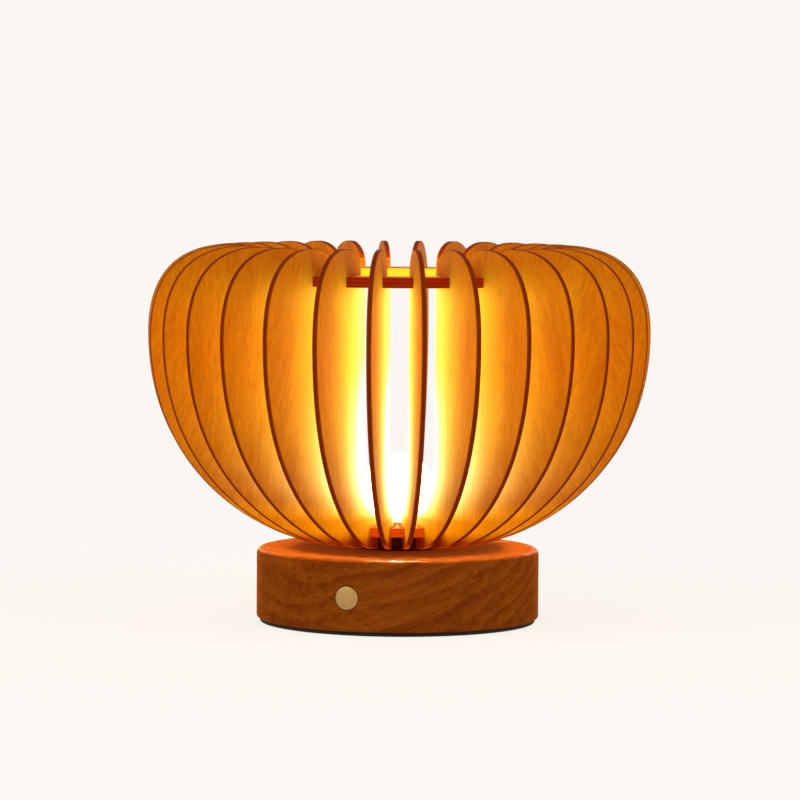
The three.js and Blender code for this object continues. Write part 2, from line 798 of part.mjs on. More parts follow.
function coverScrews() {
  const geometry = screwGeometry(coverScrew, true);
  const seat = bodyBottom + coverScrew.headHeight;
  return screws('cover_screw', coverScrewCount, geometry, coverScrewPlaces, seat);
}

function boardScrews() {
  const geometry = screwGeometry(boardScrew, false);
  return screws('board_screw', bossPlaces.length, geometry, bossPlaces, boardBottom - fitGap);
}

// Everything that is set out from the button's direction
const base = new THREE.Group();
base.rotation.z = buttonTurn;
base.add(
  footPad(), baseCover(), baseBody(), pedestal(), ledHolder(), ledBoard(), diffuser(),
  buttonCap(), buttonSleeve(), switchBody(), switchPlunger(), controlBoard(),
  batteryCell(), batteryCradle(), chargingSocket(),
  ledLead(), batteryLead(), socketLead(),
  ...coverScrews(), ...pedestalScrews(), ...plateScrews(), ...boardScrews(),
);

const shade = new THREE.Group();
shade.add(lowerPlate(), topRing(), ...fins());

const group = new THREE.Group();
group.add(base, shade);

export default group;
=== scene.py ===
"""A wooden table lamp: a bowl of upright plywood fins round an opal light, on a turned base."""

import json
import math
import random

import bmesh
import bpy
from bpy.props import FloatProperty, FloatVectorProperty, IntProperty, PointerProperty
from mathutils import Matrix, Quaternion, Vector

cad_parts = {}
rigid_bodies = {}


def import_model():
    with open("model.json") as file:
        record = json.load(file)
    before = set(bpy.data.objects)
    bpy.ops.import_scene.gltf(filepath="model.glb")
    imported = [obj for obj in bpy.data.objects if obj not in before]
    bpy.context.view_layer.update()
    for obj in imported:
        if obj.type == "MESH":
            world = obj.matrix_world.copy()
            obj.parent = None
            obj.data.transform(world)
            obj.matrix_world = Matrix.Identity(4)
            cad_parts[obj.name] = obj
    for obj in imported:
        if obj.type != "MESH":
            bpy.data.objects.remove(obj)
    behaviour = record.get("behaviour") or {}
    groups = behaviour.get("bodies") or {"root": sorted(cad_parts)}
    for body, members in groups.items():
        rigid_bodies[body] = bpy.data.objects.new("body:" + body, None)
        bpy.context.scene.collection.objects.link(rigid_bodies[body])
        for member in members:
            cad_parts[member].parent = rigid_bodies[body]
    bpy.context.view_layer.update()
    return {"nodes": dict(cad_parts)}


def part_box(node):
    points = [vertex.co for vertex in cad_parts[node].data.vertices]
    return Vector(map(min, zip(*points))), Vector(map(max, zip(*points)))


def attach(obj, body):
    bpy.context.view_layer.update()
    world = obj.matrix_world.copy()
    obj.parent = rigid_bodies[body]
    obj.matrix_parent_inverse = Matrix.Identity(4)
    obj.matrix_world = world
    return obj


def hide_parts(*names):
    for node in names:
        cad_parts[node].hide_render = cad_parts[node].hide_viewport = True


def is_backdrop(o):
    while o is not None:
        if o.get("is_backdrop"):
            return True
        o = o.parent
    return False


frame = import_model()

bl_info = {
    "name": "Wooden fin lamp",
    "version": (1, 0, 0),
    "blender": (4, 5, 0),
    "location": "View3D > Sidebar > Fin Lamp",
    "description": "Builds a lit table lamp with a plywood fin shade round the packed model",
    "category": "Object",
}

MM = 0.001
HALF_TURN = math.pi
QUARTER_TURN = math.pi / 2
FINISHES = {}

BASE_LOW, BASE_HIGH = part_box("base_body")
PAD_LOW, PAD_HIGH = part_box("foot_pad")
SPACER_LOW, SPACER_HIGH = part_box("pedestal")
PLATE_LOW, PLATE_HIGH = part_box("lower_plate")
HOLDER_LOW, HOLDER_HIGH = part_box("led_holder")
DOME_LOW, DOME_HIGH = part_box("diffuser")
RING_LOW, RING_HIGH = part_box("top_ring")
FIN_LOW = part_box("fin_01")[0]


# ---------------------------------------------------------------------------------------------
# Sizes and colours
# ---------------------------------------------------------------------------------------------


def srgb(red, green, blue):
    """A colour as it looks on screen, 0 to 255, turned into the linear values that Blender keeps."""
    def linear(part):
        part /= 255
        return part / 12.92 if part <= 0.04045 else ((part + 0.055) / 1.055) ** 2.4
    return (linear(red), linear(green), linear(blue))


def length(name, description, millimetres):
    """A size that the user can change, in millimetres here and in scene units in the panel."""
    return FloatProperty(
        name=name, description=description, default=millimetres * MM,
        unit="LENGTH", subtype="DISTANCE", precision=5,
    )


def angle(name, description, degrees):
    """An angle that the user can change, written in degrees."""
    return FloatProperty(
        name=name, description=description, default=math.radians(degrees), subtype="ANGLE", unit="ROTATION",
    )


def power(name, description, watts):
    """The power of a light, which the user can change."""
    return FloatProperty(name=name, description=description, default=watts, unit="POWER")


def amount(name, description, value, **details):
    """A plain number that the user can change."""
    return FloatProperty(name=name, description=description, default=value, **details)


def colour(name, description, red, green, blue):
    """A colour that the user can change, written as it looks on screen."""
    return FloatVectorProperty(
        name=name, description=description, default=srgb(red, green, blue),
        subtype="COLOR", size=3, min=0, max=1,
    )


class ShadeSizes(bpy.types.PropertyGroup):
    """The fins and the two plywood rings that hold them."""

    fin_count: IntProperty(name="Fins", description="How many fins stand round the lamp", default=30)
    widest: length("Widest", "Radius of the shade at its belly", 125.69)
    fin_thickness: length("Fin thickness", "Thickness of the fins' plywood", 2.4)
    fin_height: length("Fin height", "Height of a fin from foot to top", 148.8)
    belly_rise: length("Belly rise", "Height of the belly above the fin's foot", 105.0)
    shoulder: length("Shoulder", "Radius at which a fin is highest", 84.8)
    mouth: length("Mouth", "Radius of the fins' inner edge at the rim", 62.3)
    mouth_drop: length("Mouth drop", "How far the inner corner lies below the top", 11.6)
    toe: length("Toe", "Radius of the fins' inner edge at the foot", 34.0)
    toe_flat: length("Toe flat", "Length of the flat under a fin's foot", 3.5)
    lip: length("Lip", "Height of wood above the lower notch", 4.6)
    inner_rise: length("Inner rise", "Height of the inner curve above the lower plate", 34.0)
    fit: length("Fit", "Clearance between a fin and a ring", 0.3)
    ring_inner: length("Ring inner radius", "Inner radius of the upper ring", 61.5)
    ring_outer: length("Ring outer radius", "Outer radius of the upper ring", 85.0)
    plate_outer: length("Plate radius", "Radius of the lower plate", 47.0)
    wire_hole: length("Wire hole", "Radius of the hole for the lead", 4.3)
    chamfer: length("Eased edge", "How far the cut plywood's edges are eased", 0.18)
    scorch: length("Scorch", "How far the laser's scorch reaches in from a cut edge", 0.9)


class BaseSizes(bpy.types.PropertyGroup):
    """The turned base, the spacer on it and the pad under it."""

    top_round: length("Top round", "Radius of the base's upper edge", 3.0)
    foot_round: length("Foot round", "Radius of the base's lower edge", 1.5)
    cavity: length("Cavity radius", "Radius of the space inside the base", 54.98)
    ledge: length("Ledge radius", "Radius of the seat of the cover", 64.28)
    cover_seat: length("Cover seat", "Height of the seat of the cover", 4.2)
    roof: length("Roof", "Height of the cavity's ceiling", 27.0)
    bore: length("Button bore", "Radius of the hole that the button slides in", 6.15)
    bore_ease: length("Bore ease", "How far the mouth of the button's hole is eased", 0.3)
    sleeve_bore: length("Sleeve bore", "Radius of the wider hole behind the button", 8.45)
    shoulder: length("Bore shoulder", "Distance from the axis to the shoulder in the bore", 67.15)
    socket_bore: length("Socket bore", "Radius of the recess of the charging socket", 5.9)
    socket_seat: length("Socket seat", "Distance from the axis to the seat of the socket", 69.15)
    nut_bore: length("Nut bore", "Radius of the wider hole behind the socket", 7.0)
    nut_wall: length("Nut wall", "Thickness of the wood that the socket is held to", 3.0)
    pad_edge: length("Pad edge", "Rounding of the pad's edge", 0.5)
    spacer_cove: length("Spacer cove", "Depth of the hollow round the spacer", 2.2)


class LightSizes(bpy.types.PropertyGroup):
    """The opal dome and what makes it shine."""

    dome_wall: length("Dome wall", "Thickness of the opal dome", 1.6)
    holder_rim: length("Holder rim", "Radius of the recess in the holder", 16.3)
    holder_hole: length("Holder hole", "Radius of the hole in the holder's floor", 3.0)
    holder_recess: length("Holder recess", "Depth of the recess in the holder", 1.9)
    strength: amount("Glow", "Emission strength of the dome", 5.0)
    glow: colour("Glow colour", "Colour of the light", 255, 244, 150)
    # The next eight settings are painted light: the dome's light painted as emission on the plywood and on
    # the holder. The halo colour and the colour of the edges next to the base are light, not colours of the
    # wood.
    soak: amount("Soak", "Strength of the light in the wood", 0.67)
    soak_reach: amount("Soak reach", "Millimetres over which that light fades outwards", 33.0)
    soak_colour: colour("Soak colour", "Colour of the light in the wood", 237, 255, 48)
    halo: amount("Halo", "Extra light on the wood next to the dome", 2.2)
    painted_halo_colour: colour("Halo colour", "Colour of the wood next to the dome", 255, 235, 212)
    painted_edge_glow_colour: colour("Ember colour", "Colour of the plywood's edges next to the base", 190, 62, 0)
    foot_glow: colour("Foot glow", "Light in the fins' feet, next to the base", 196, 138, 0)
    ring_colour: colour("Ring edge colour", "Light that reaches the upper ring's outer edge", 104, 12, 0)
    inner_power: power("Inner light", "Power of each soft light inside the shade", 0.4)
    inner_radius: length("Inner light radius", "Radius of the soft lights inside the shade", 30.0)
    foot_power: power("Foot light", "Power of the light that falls on the base", 2.0)
    foot_colour: colour("Foot light colour", "Colour of the light on the base", 255, 196, 130)
    glint_power: power("Glint light", "Power of the light that glints on the base's edge", 8.0)


class ButtonSizes(bpy.types.PropertyGroup):
    """The push button and the charging socket, both set into the base's side."""

    turn: angle("Button angle", "Angle of the button from the front, anticlockwise from above", -20)
    radius: length("Button radius", "Radius of the button's face", 5.85)
    face: length("Button face", "Distance from the axis to the button's face", 70.85)
    depth: length("Button depth", "Depth of the cap in front of its flange", 4.0)
    edge: length("Button edge", "Chamfer round the button's face", 0.45)
    flange: length("Flange radius", "Radius of the flange behind the cap", 6.95)
    flange_depth: length("Flange depth", "Thickness of the flange", 1.2)
    stem: length("Stem radius", "Radius of the stem that works the switch", 1.8)
    stem_end: length("Stem end", "Distance from the axis to the end of the stem", 52.68)
    socket_face: length("Socket face", "Distance from the axis to the socket's face", 70.45)
    socket_rim: length("Socket rim", "Radius of the socket's flange", 5.6)
    socket_body: length("Socket body", "Radius of the socket's body", 4.0)
    socket_length: length("Socket length", "Length of the socket behind its flange", 13.0)
    socket_hole: length("Socket hole", "Radius of the socket's hole", 2.9)
    socket_depth: length("Socket depth", "Depth of the socket's hole", 9.5)
    socket_pin: length("Socket pin", "Radius of the pin in the socket", 0.65)


class LampColours(bpy.types.PropertyGroup):
    """Colours of the finishes."""

    # Partly real and partly painted light: the plywood keeps its own grain and scorched edges, but these
    # colours are a deeper, warmer orange to stand in for the lamp's warm light on it.
    ply_light: colour("Plywood light", "Pale fibres of the fins", 232, 141, 12)
    ply_dark: colour("Plywood dark", "Dark fibres of the fins", 206, 106, 5)
    ply_scorch: colour("Scorched edge", "Laser-cut edge of the plywood", 142, 50, 2)
    ply_core: colour("Scorched core", "Middle veneer seen in a cut edge", 114, 38, 2)
    wood_light: colour("Base light", "Pale bands of the base's wood", 154, 80, 18)
    wood_dark: colour("Base dark", "Dark bands of the base's wood", 114, 46, 6)
    wood_sheen: colour("Base sheen", "Warm bloom of the varnish, seen along the wood", 255, 150, 60)
    wood_pore: colour("Base pores", "Pores in the base's wood", 76, 30, 5)
    lacquer: colour("Spacer", "Lacquer of the spacer", 76, 36, 20)
    pad: colour("Pad", "Pad under the base", 24, 20, 17)
    opal: colour("Opal", "Opal dome", 255, 246, 226)
    brass: colour("Brass", "Brushed metal of the button", 172, 136, 84)
    backdrop: colour("Backdrop", "Floor and background", 250, 247, 242)


class StageSettings(bpy.types.PropertyGroup):
    """Floor, lights and camera."""

    camera_distance: length("Camera distance", "Distance of the camera from the lamp's axis", 2050.0)
    camera_height: length("Camera height", "Height of the camera above the floor", 244.0)
    camera_turn: angle("Camera angle", "How far the camera stands to the right of the front", 0.55)
    aim_height: length("Aim height", "Height that the camera looks at", 111.0)
    aim_side: length("Aim side", "How far to the right of the axis the camera looks", 0.6)
    lens: amount(
        "Lens", "Focal length of the camera", 184.5, subtype="DISTANCE_CAMERA", unit="CAMERA",
    )
    camera_roll: angle("Camera roll", "How far the camera leans to the left", 0.4)
    ambient: amount("Ambient", "Strength of the all-round light", 0.5)
    key: power("Key light", "Power of the large light at the left", 19.0)
    fill: power("Fill light", "Power of the light at the right", 11.0)
    floor_level: amount("Floor level", "How brightly the open floor is lit, where 1 is white", 0.66)
    shadow: amount(
        "Shadow", "How much of the floor's colour comes from the light on it", 0.2,
        subtype="FACTOR", min=0, max=1,
    )


class LampSettings(bpy.types.PropertyGroup):
    """All settings of the lamp."""

    shade: PointerProperty(type=ShadeSizes)
    base: PointerProperty(type=BaseSizes)
    light: PointerProperty(type=LightSizes)
    button: PointerProperty(type=ButtonSizes)
    colours: PointerProperty(type=LampColours)
    stage: PointerProperty(type=StageSettings)


# ---------------------------------------------------------------------------------------------
# Materials
# ---------------------------------------------------------------------------------------------

# The base of the curves by which the painted light fades in the wood, and the height that the dome's light
# seems to come from.
FADE = 2.718
LIGHT_LEVEL = 70.0


def both_ways(operation):
    """An operator of Value for a Math node, and its reflected form."""
    def forwards(self, other):
        return self.recipe.maths(operation, self, other)

    def reflected(self, other):
        return self.recipe.maths(operation, other, self)

    return forwards, reflected


class Value:
    """A shader socket that can stand in a Python expression: each operation adds its Math node."""

    __add__, __radd__ = both_ways("ADD")
    __sub__, __rsub__ = both_ways("SUBTRACT")
    __mul__, __rmul__ = both_ways("MULTIPLY")
    __truediv__, __rtruediv__ = both_ways("DIVIDE")
    __pow__, __rpow__ = both_ways("POWER")

    def __init__(self, recipe, socket):
        self.recipe = recipe
        self.socket = socket

    def out(self, name):
        """Another output of the same node."""
        return Value(self.recipe, self.socket.node.outputs[name])


class Recipe:
    """The nodes of one material, or of the world."""

    def __init__(self, owner):
        owner.use_nodes = True
        self.owner = owner
        self.tree = owner.node_tree
        self.tree.nodes.clear()

    def node(self, kind, settings=None, sockets=None, output=0):
        """Adds a node: its settings first, then the values or links of its sockets."""
        made = self.tree.nodes.new(kind)
        for name, value in (settings or {}).items():
            setattr(made, name, value)
        for name, value in (sockets or {}).items():
            socket = made.inputs[name]
            if isinstance(value, Value):
                self.tree.links.new(value.socket, socket)
            else:
                socket.default_value = (*value, 1.0) if socket.type == "RGBA" else value
        return Value(self, made.outputs[output]) if made.outputs else made

    def maths(self, operation, *values):
        return self.node("ShaderNodeMath", {"operation": operation}, dict(enumerate(values)))

    def vectors(self, operation, *values, output="Vector"):
        return self.node("ShaderNodeVectorMath", {"operation": operation}, dict(enumerate(values)), output)

    def part(self, vector, axis):
        """One of the three numbers of a vector."""
        return self.node("ShaderNodeSeparateXYZ", None, {"Vector": vector}, axis)

    def millimetres(self):
        """The place on the object, in millimetres."""
        place = self.node("ShaderNodeTexCoord", output="Object")
        return self.vectors("MULTIPLY_ADD", place, (1 / MM,) * 3, (0.0, 0.0, 0.0))

    def from_axis(self, place):
        """How far a place lies from the lamp's axis."""
        return self.vectors("LENGTH", self.vectors("MULTIPLY", place, (1.0, 1.0, 0.0)), output="Value")

    def step(self, value, start, end):
        """Rises smoothly from 0 to 1 while the value goes from start to end."""
        return self.node(
            "ShaderNodeMapRange", {"interpolation_type": "SMOOTHSTEP"},
            {"Value": value, "From Min": start, "From Max": end, "To Min": 0.0, "To Max": 1.0},
        )

    def mix(self, factor, first, second, how="MIX"):
        """Mixes two colours."""
        settings = {"data_type": "RGBA", "blend_type": how, "clamp_factor": True}
        return self.node("ShaderNodeMix", settings, {0: factor, 6: first, 7: second}, output=2)

    def tinted(self, base, level):
        """A colour made lighter or darker by a varying level round 1."""
        grey = self.node("ShaderNodeCombineColor", None, {"Red": level, "Green": level, "Blue": level})
        return self.mix(1.0, base, grey, "MULTIPLY")

    def noise(self, place, scale, shift=(0.0, 0.0, 0.0), detail=3.0, roughness=0.5, distortion=0.0):
        """Clouds whose scale is one number, or one for each axis."""
        scale = scale if isinstance(scale, tuple) else (scale,) * 3
        return self.node("ShaderNodeTexNoise", {"noise_dimensions": "3D"}, {
            "Vector": self.vectors("MULTIPLY_ADD", place, scale, shift), "Scale": 1.0,
            "Detail": detail, "Roughness": roughness, "Distortion": distortion,
        })

    def bump(self, height, strength, depth):
        """The relief of a height, at a depth in millimetres."""
        sockets = {"Height": height, "Strength": strength, "Distance": depth * MM}
        return self.node("ShaderNodeBump", None, sockets)

    def surface(self, **sockets):
        """The finished material; socket names are written with underscores for spaces."""
        named = {name.replace("_", " "): value for name, value in sockets.items()}
        shader = self.node("ShaderNodeBsdfPrincipled", None, named)
        self.node("ShaderNodeOutputMaterial", None, {"Surface": shader})
        return self.owner


def new_finish(name):
    """The empty recipe of a new material."""
    return Recipe(bpy.data.materials.new(name))


def plywood_finish(colours, shade, light):
    """Laser-cut plywood: fine fibres and flecks on the faces, scorched veneers on the cut edges."""
    r = new_finish("Laser-cut plywood")
    sheet = r.node("ShaderNodeAttribute", {"attribute_name": "sheet"}, output="Vector")
    scorch = r.node("ShaderNodeAttribute", {"attribute_name": "scorch"}, output="Fac")
    place = r.node("ShaderNodeNewGeometry", output="Position")
    height = r.part(place, "Z") / MM

    cloud = r.noise(sheet, (0.02, 0.06, 0.0), roughness=0.55)
    waves = r.noise(sheet, (0.03, 0.35, 0.0), detail=4.0, roughness=0.6, distortion=0.6)
    fibres = r.noise(sheet, (0.14, 1.5, 0.0), detail=4.0, roughness=0.65)
    fleck = r.step(r.noise(sheet, (0.32, 2.3, 0.0), (7.3, 2.1, 0.0), detail=2.0), 0.60, 0.72)
    grain = cloud * 0.35 + waves * 0.4 + fibres * 0.5 - 0.12
    face = r.mix(r.step(grain, 0.30, 0.72), colours.ply_dark, colours.ply_light)
    face = r.tinted(face, 1.0 - fleck * 0.26 + (fibres - 0.5) * 0.5)
    # Painted light and shade: the faces are darker low in the bowl, lighter higher up, and darker again at
    # the fins' tops, in the upper ring's shadow.
    upper, top = r.step(height, 40.0, 140.0), r.step(height, 158.0, 182.0)
    face = r.tinted(face, 0.73 + upper * 0.35 - top * 0.17)

    core = r.step(r.maths("PINGPONG", r.part(sheet, "Z"), 1.0), 0.42, 0.58)
    burnt = r.mix(core, colours.ply_core, colours.ply_scorch)
    burnt = r.tinted(burnt, 0.72 + r.noise(sheet, (0.5, 0.5, 0.8)) * 0.56)
    burn = r.maths("MAXIMUM", r.step(scorch, 0.93, 0.99), scorch ** 2.6 * 0.5)
    return r.surface(
        Base_Color=r.mix(burn, face, burnt), Roughness=0.62 - fibres * 0.14 + scorch * 0.1,
        Normal=r.bump(fibres * 0.5 - fleck * 0.35 + waves * 0.2, 0.35, 0.12), Specular_IOR_Level=0.03,
        Emission_Color=painted_glow_on_wood(r, place, height, grain, shade, light), Emission_Strength=1.0,
    )


def painted_glow_on_wood(r, place, height, grain, shade, light):
    """Painted light: the dome's light painted into the plywood as emission; it fades from the fins' inner
    edge outwards.

    What faces away from the dome gets none of it, nor does what stands in the upper ring's shadow. Also
    painted:
    an amber glow in the fins' feet, a dark red light on the ring's outer edge, and a dull red glow on the
    outer edges next to the base. All heights and radii are in millimetres.
    """
    halo_reach, foot_reach = 7.0, 40.0
    radius = r.from_axis(place) / MM
    bowl_top = (PLATE_HIGH.z + shade.inner_rise) / MM
    sunk = r.maths("MAXIMUM", (bowl_top - height) / ((shade.inner_rise - shade.lip) / MM), 0.0)
    bowl = r.maths("MAXIMUM", 1.0 - sunk * sunk, 0.0) ** 0.5
    inner = shade.toe / MM + bowl * ((shade.mouth - shade.toe) / MM)
    depth = r.maths("MAXIMUM", radius - inner, 0.0)

    centre = (0.0, 0.0, (DOME_LOW.z + DOME_HIGH.z) / 2)
    ray = r.vectors("NORMALIZE", r.vectors("SUBTRACT", place, centre))
    turned = r.vectors("DOT_PRODUCT", ray, place.out("Normal"), output="Value")
    towards = 1.0 - r.step(turned, 0.08, 0.45)
    away = 1.0 - towards

    ring_foot, ring_top, ring_edge = RING_LOW.z / MM, RING_HIGH.z / MM, shade.ring_outer / MM
    behind = r.step(radius, shade.mouth / MM + 0.2, shade.mouth / MM + 1.2)
    steep = r.step((height - LIGHT_LEVEL) / radius, 1.0, 1.35)
    ring_shadow = r.step(height, ring_foot - 0.5, ring_foot + 1.5) * steep
    fin_top = r.step(height, 160.0, 186.0) * 0.95
    shaded = r.maths("MAXIMUM", ring_shadow, fin_top) * behind
    over_ring = r.step(height, ring_top - 0.3, ring_top + 0.7) * (1.0 - behind) * 0.85
    above_feet = r.step(height, 48.0, 61.0)
    open_to_light = (1.0 - shaded) * (1.0 - over_ring) * above_feet
    shown = towards * open_to_light * (0.8 + grain * 0.4)

    upper = r.step(height, 50.0, 115.0)
    share = depth / (light.soak_reach * (0.5 + upper * 0.5))
    soaked = FADE ** (share * share * -1.0) * light.soak
    beside_dome = r.step(height, 50.0, 80.0) * r.step(height, 135.0, 95.0) * 0.84 + 0.16
    below_ring = r.step(height, ring_foot + 1.0, ring_foot - 2.0)
    near = FADE ** (depth / -halo_reach) * beside_dome * below_ring * light.halo

    past_plate = r.maths("MAXIMUM", r.step(radius, 44.0, 52.0), r.step(height, 50.0, 53.0))
    feet = r.step(height, 43.0, 50.0) * r.step(height, 67.0, 54.0) * past_plate * towards
    feet = feet * FADE ** (depth * depth / -(foot_reach ** 2)) * (0.7 + grain * 0.6)
    rim = away * r.step(height, ring_foot - 1.0, ring_foot) * r.step(height, ring_top + 0.5, ring_top)
    rim = rim * r.step(radius, ring_edge + 1.5, ring_edge + 1.0)
    painted_edge_glow = away * r.step(height, 60.0, 50.0) * r.step(radius, 60.0, 48.0)

    lit = r.tinted(light.soak_colour, soaked * shown)
    for tint, strength in (
        (light.painted_halo_colour, near * shown), (light.foot_glow, feet), (light.ring_colour, rim),
        (light.painted_edge_glow_colour, painted_edge_glow),
    ):
        lit = r.mix(1.0, lit, r.tinted(tint, strength), "ADD")
    return lit


def turned_wood_finish(colours):
    """Varnished solid wood whose growth rings run through the block, with short dark pores.

    Only the rounded edge of the base's top is glossy: the dome's glint shows there.
    """
    r = new_finish("Varnished turned wood")
    place = r.millimetres()
    heart, lean = (0.0, 60.0, -320.0), (0.0, math.radians(-19), math.radians(4))
    along = r.node("ShaderNodeMapping", {"vector_type": "TEXTURE"}, {
        "Vector": place, "Location": heart, "Rotation": lean,
    })
    sway = r.noise(along, (0.012, 0.03, 0.03), detail=2.0, roughness=0.45)
    across, up = r.part(along, "Y"), r.part(along, "Z")
    ring_width = 8.5
    ring = r.maths("FRACT", ((across * across + up * up) ** 0.5 + sway * 22.0) / ring_width)
    late = r.step(ring, 0.15, 0.92) * (1.0 - r.step(ring, 0.93, 1.0))
    cloud = r.noise(along, (0.01, 0.05, 0.05), (3.0, 1.0, 5.0))
    streak = r.noise(along, (0.012, 0.42, 0.42), detail=5.0, roughness=0.62, distortion=0.2)
    fibre = r.noise(along, (0.10, 2.6, 2.6), roughness=0.6)
    pore = r.step(r.noise(along, (0.22, 1.7, 1.7), (9.0, 4.0, 2.0), detail=2.0), 0.60, 0.70)
    tone = 0.60 + (cloud - 0.5) * 0.5 + (streak - 0.5) * 1.15 + (fibre - 0.5) * 0.7 - late * 0.24
    wood = r.mix(r.step(tone, 0.05, 0.95), colours.wood_dark, colours.wood_light)

    top = BASE_HIGH.z / MM
    past_flat = r.step(r.from_axis(place), 67.2, 67.9)
    rim = past_flat * r.step(r.part(place, "Z"), top - 1.6, top - 0.4)
    return r.surface(
        Base_Color=r.mix(pore * 0.55, wood, colours.wood_pore),
        Roughness=0.44 + (fibre - 0.5) * 0.2 + pore * 0.12,
        Normal=r.bump(fibre * 0.4 - pore * 0.6, 0.3, 0.06),
        Specular_IOR_Level=0.0, Coat_Weight=rim * 0.3 + 0.005, Coat_Roughness=0.2,
        Sheen_Weight=0.8, Sheen_Roughness=0.3, Sheen_Tint=colours.wood_sheen,
    )


def lacquer_finish(colours):
    """Dark satin lacquer with a faint brushed texture."""
    r = new_finish("Dark satin lacquer")
    place = r.millimetres()
    drift = r.noise(place, (0.08, 0.08, 0.3))
    peel = r.noise(place, 1.2, detail=2.0)
    return r.surface(
        Base_Color=r.tinted(colours.lacquer, 0.75 + drift * 0.5),
        Roughness=0.36 + peel * 0.2, Normal=r.bump(peel, 0.2, 0.05), Specular_IOR_Level=0.15,
    )


def pad_finish(colours):
    """Thin dark pad with a matted nap."""
    r = new_finish("Dark foot pad")
    place = r.millimetres()
    nap = r.noise(place, (2.2, 2.2, 3.0), detail=5.0, roughness=0.7)
    wear = r.noise(place, 0.05, detail=2.0)
    return r.surface(
        Base_Color=r.tinted(colours.pad, 0.5 + nap * 0.6 + wear * 0.4),
        Roughness=0.9 + nap * 0.08, Normal=r.bump(nap, 0.5, 0.2),
    )


def opal_finish(colours, light):
    """Opal plastic lit from inside, a little dimmer at its foot."""
    r = new_finish("Lit opal plastic")
    place = r.millimetres()
    foot = DOME_LOW.z / MM
    above_foot = r.step(r.part(place, "Z"), foot, foot + 14.0)
    milky = r.noise(place, 0.3, detail=2.0)
    return r.surface(
        Base_Color=r.tinted(colours.opal, 0.97 + milky * 0.06), Roughness=0.38 + milky * 0.06,
        Emission_Color=r.tinted(light.glow, 0.78 + above_foot * 0.2 + milky * 0.04),
        Emission_Strength=light.strength,
    )


def painted_glow_collar_finish(colours, light):
    """White plastic next to the dome, with the dome's light painted on it as emission."""
    r = new_finish("Lit white collar")
    cloud = r.noise(r.millimetres(), (0.25, 0.25, 0.5), detail=2.0)
    return r.surface(
        Base_Color=r.tinted(colours.opal, 0.9 + cloud * 0.12), Roughness=0.5 + cloud * 0.05,
        Emission_Color=r.tinted(light.painted_halo_colour, 0.9 + cloud * 0.2), Emission_Strength=1.1,
    )


def brass_finish(colours):
    """Brushed brass with fine lines across the face and faint handling marks."""
    r = new_finish("Brushed brass")
    turned = r.node("ShaderNodeMapping", {"vector_type": "POINT"}, {
        "Vector": r.millimetres(), "Rotation": (0.0, math.radians(12), 0.0),
    })
    lines = r.noise(turned, (6.5, 6.5, 0.35), detail=4.0, roughness=0.65)
    blotch = r.noise(turned, (0.9, 0.9, 0.7), roughness=0.7)
    return r.surface(
        Base_Color=r.tinted(colours.brass, 0.48 + lines * 0.34 + blotch * 0.74), Metallic=1.0,
        Roughness=0.34 + lines * 0.16 + blotch * 0.08, Normal=r.bump(lines, 0.25, 0.03),
    )


def moulded_finish(name, shade, roughness):
    """Moulded plastic with a fine spark-eroded texture and slight shade changes."""
    r = new_finish(name)
    place = r.millimetres()
    spark = r.noise(place, 2.25, roughness=0.6)
    drift = r.noise(place, 0.06, detail=2.0)
    return r.surface(
        Base_Color=r.tinted(shade, 0.88 + drift * 0.24), Roughness=roughness + (spark - 0.5) * 0.14,
        Normal=r.bump(spark, 0.3, 0.04),
    )


def circuit_finish():
    """Solder-masked board with paler tracks under the mask."""
    r = new_finish("Solder-masked board")
    place = r.millimetres()
    tracks = r.node("ShaderNodeTexBrick", {"offset": 0.5}, {
        "Vector": r.vectors("MULTIPLY", place, (0.22, 0.22, 0.0)), "Color1": srgb(30, 84, 50),
        "Color2": srgb(34, 94, 56), "Mortar": srgb(58, 132, 82), "Scale": 1.0, "Mortar Size": 0.035,
    })
    haze = r.noise(place, 0.4)
    return r.surface(
        Base_Color=r.tinted(tracks, 0.85 + haze * 0.3), Roughness=0.32 + haze * 0.12,
        Normal=r.bump(haze, 0.15, 0.03), Coat_Weight=0.4,
    )


def metal_finish(name, shade, roughness, scale):
    """Plain metal with fine tool lines."""
    r = new_finish(name)
    place = r.millimetres()
    lines = r.noise(place, scale, detail=4.0, roughness=0.6)
    haze = r.noise(place, 0.5, detail=2.0)
    return r.surface(
        Base_Color=r.tinted(shade, 0.8 + lines * 0.25 + haze * 0.15), Metallic=1.0,
        Roughness=roughness + (lines - 0.5) * 0.16, Normal=r.bump(lines, 0.2, 0.02),
    )


def wrap_finish():
    """Shrink-wrapped film of the cell, with faint lengthwise creases."""
    r = new_finish("Shrink wrap")
    crease = r.noise(r.millimetres(), (0.06, 0.9, 0.9), roughness=0.6)
    return r.surface(
        Base_Color=r.tinted(srgb(44, 92, 154), 0.85 + crease * 0.3), Roughness=0.28 + crease * 0.14,
        Normal=r.bump(crease, 0.3, 0.08), Coat_Weight=0.3,
    )


def sheath_finish():
    """Woven-looking extruded sheath of the leads."""
    r = new_finish("Lead sheath")
    scuff = r.noise(r.millimetres(), 0.8, detail=4.0, roughness=0.65)
    return r.surface(
        Base_Color=r.tinted(srgb(43, 41, 40), 0.75 + scuff * 0.5), Roughness=0.5 + scuff * 0.2,
        Normal=r.bump(scuff, 0.3, 0.05),
    )


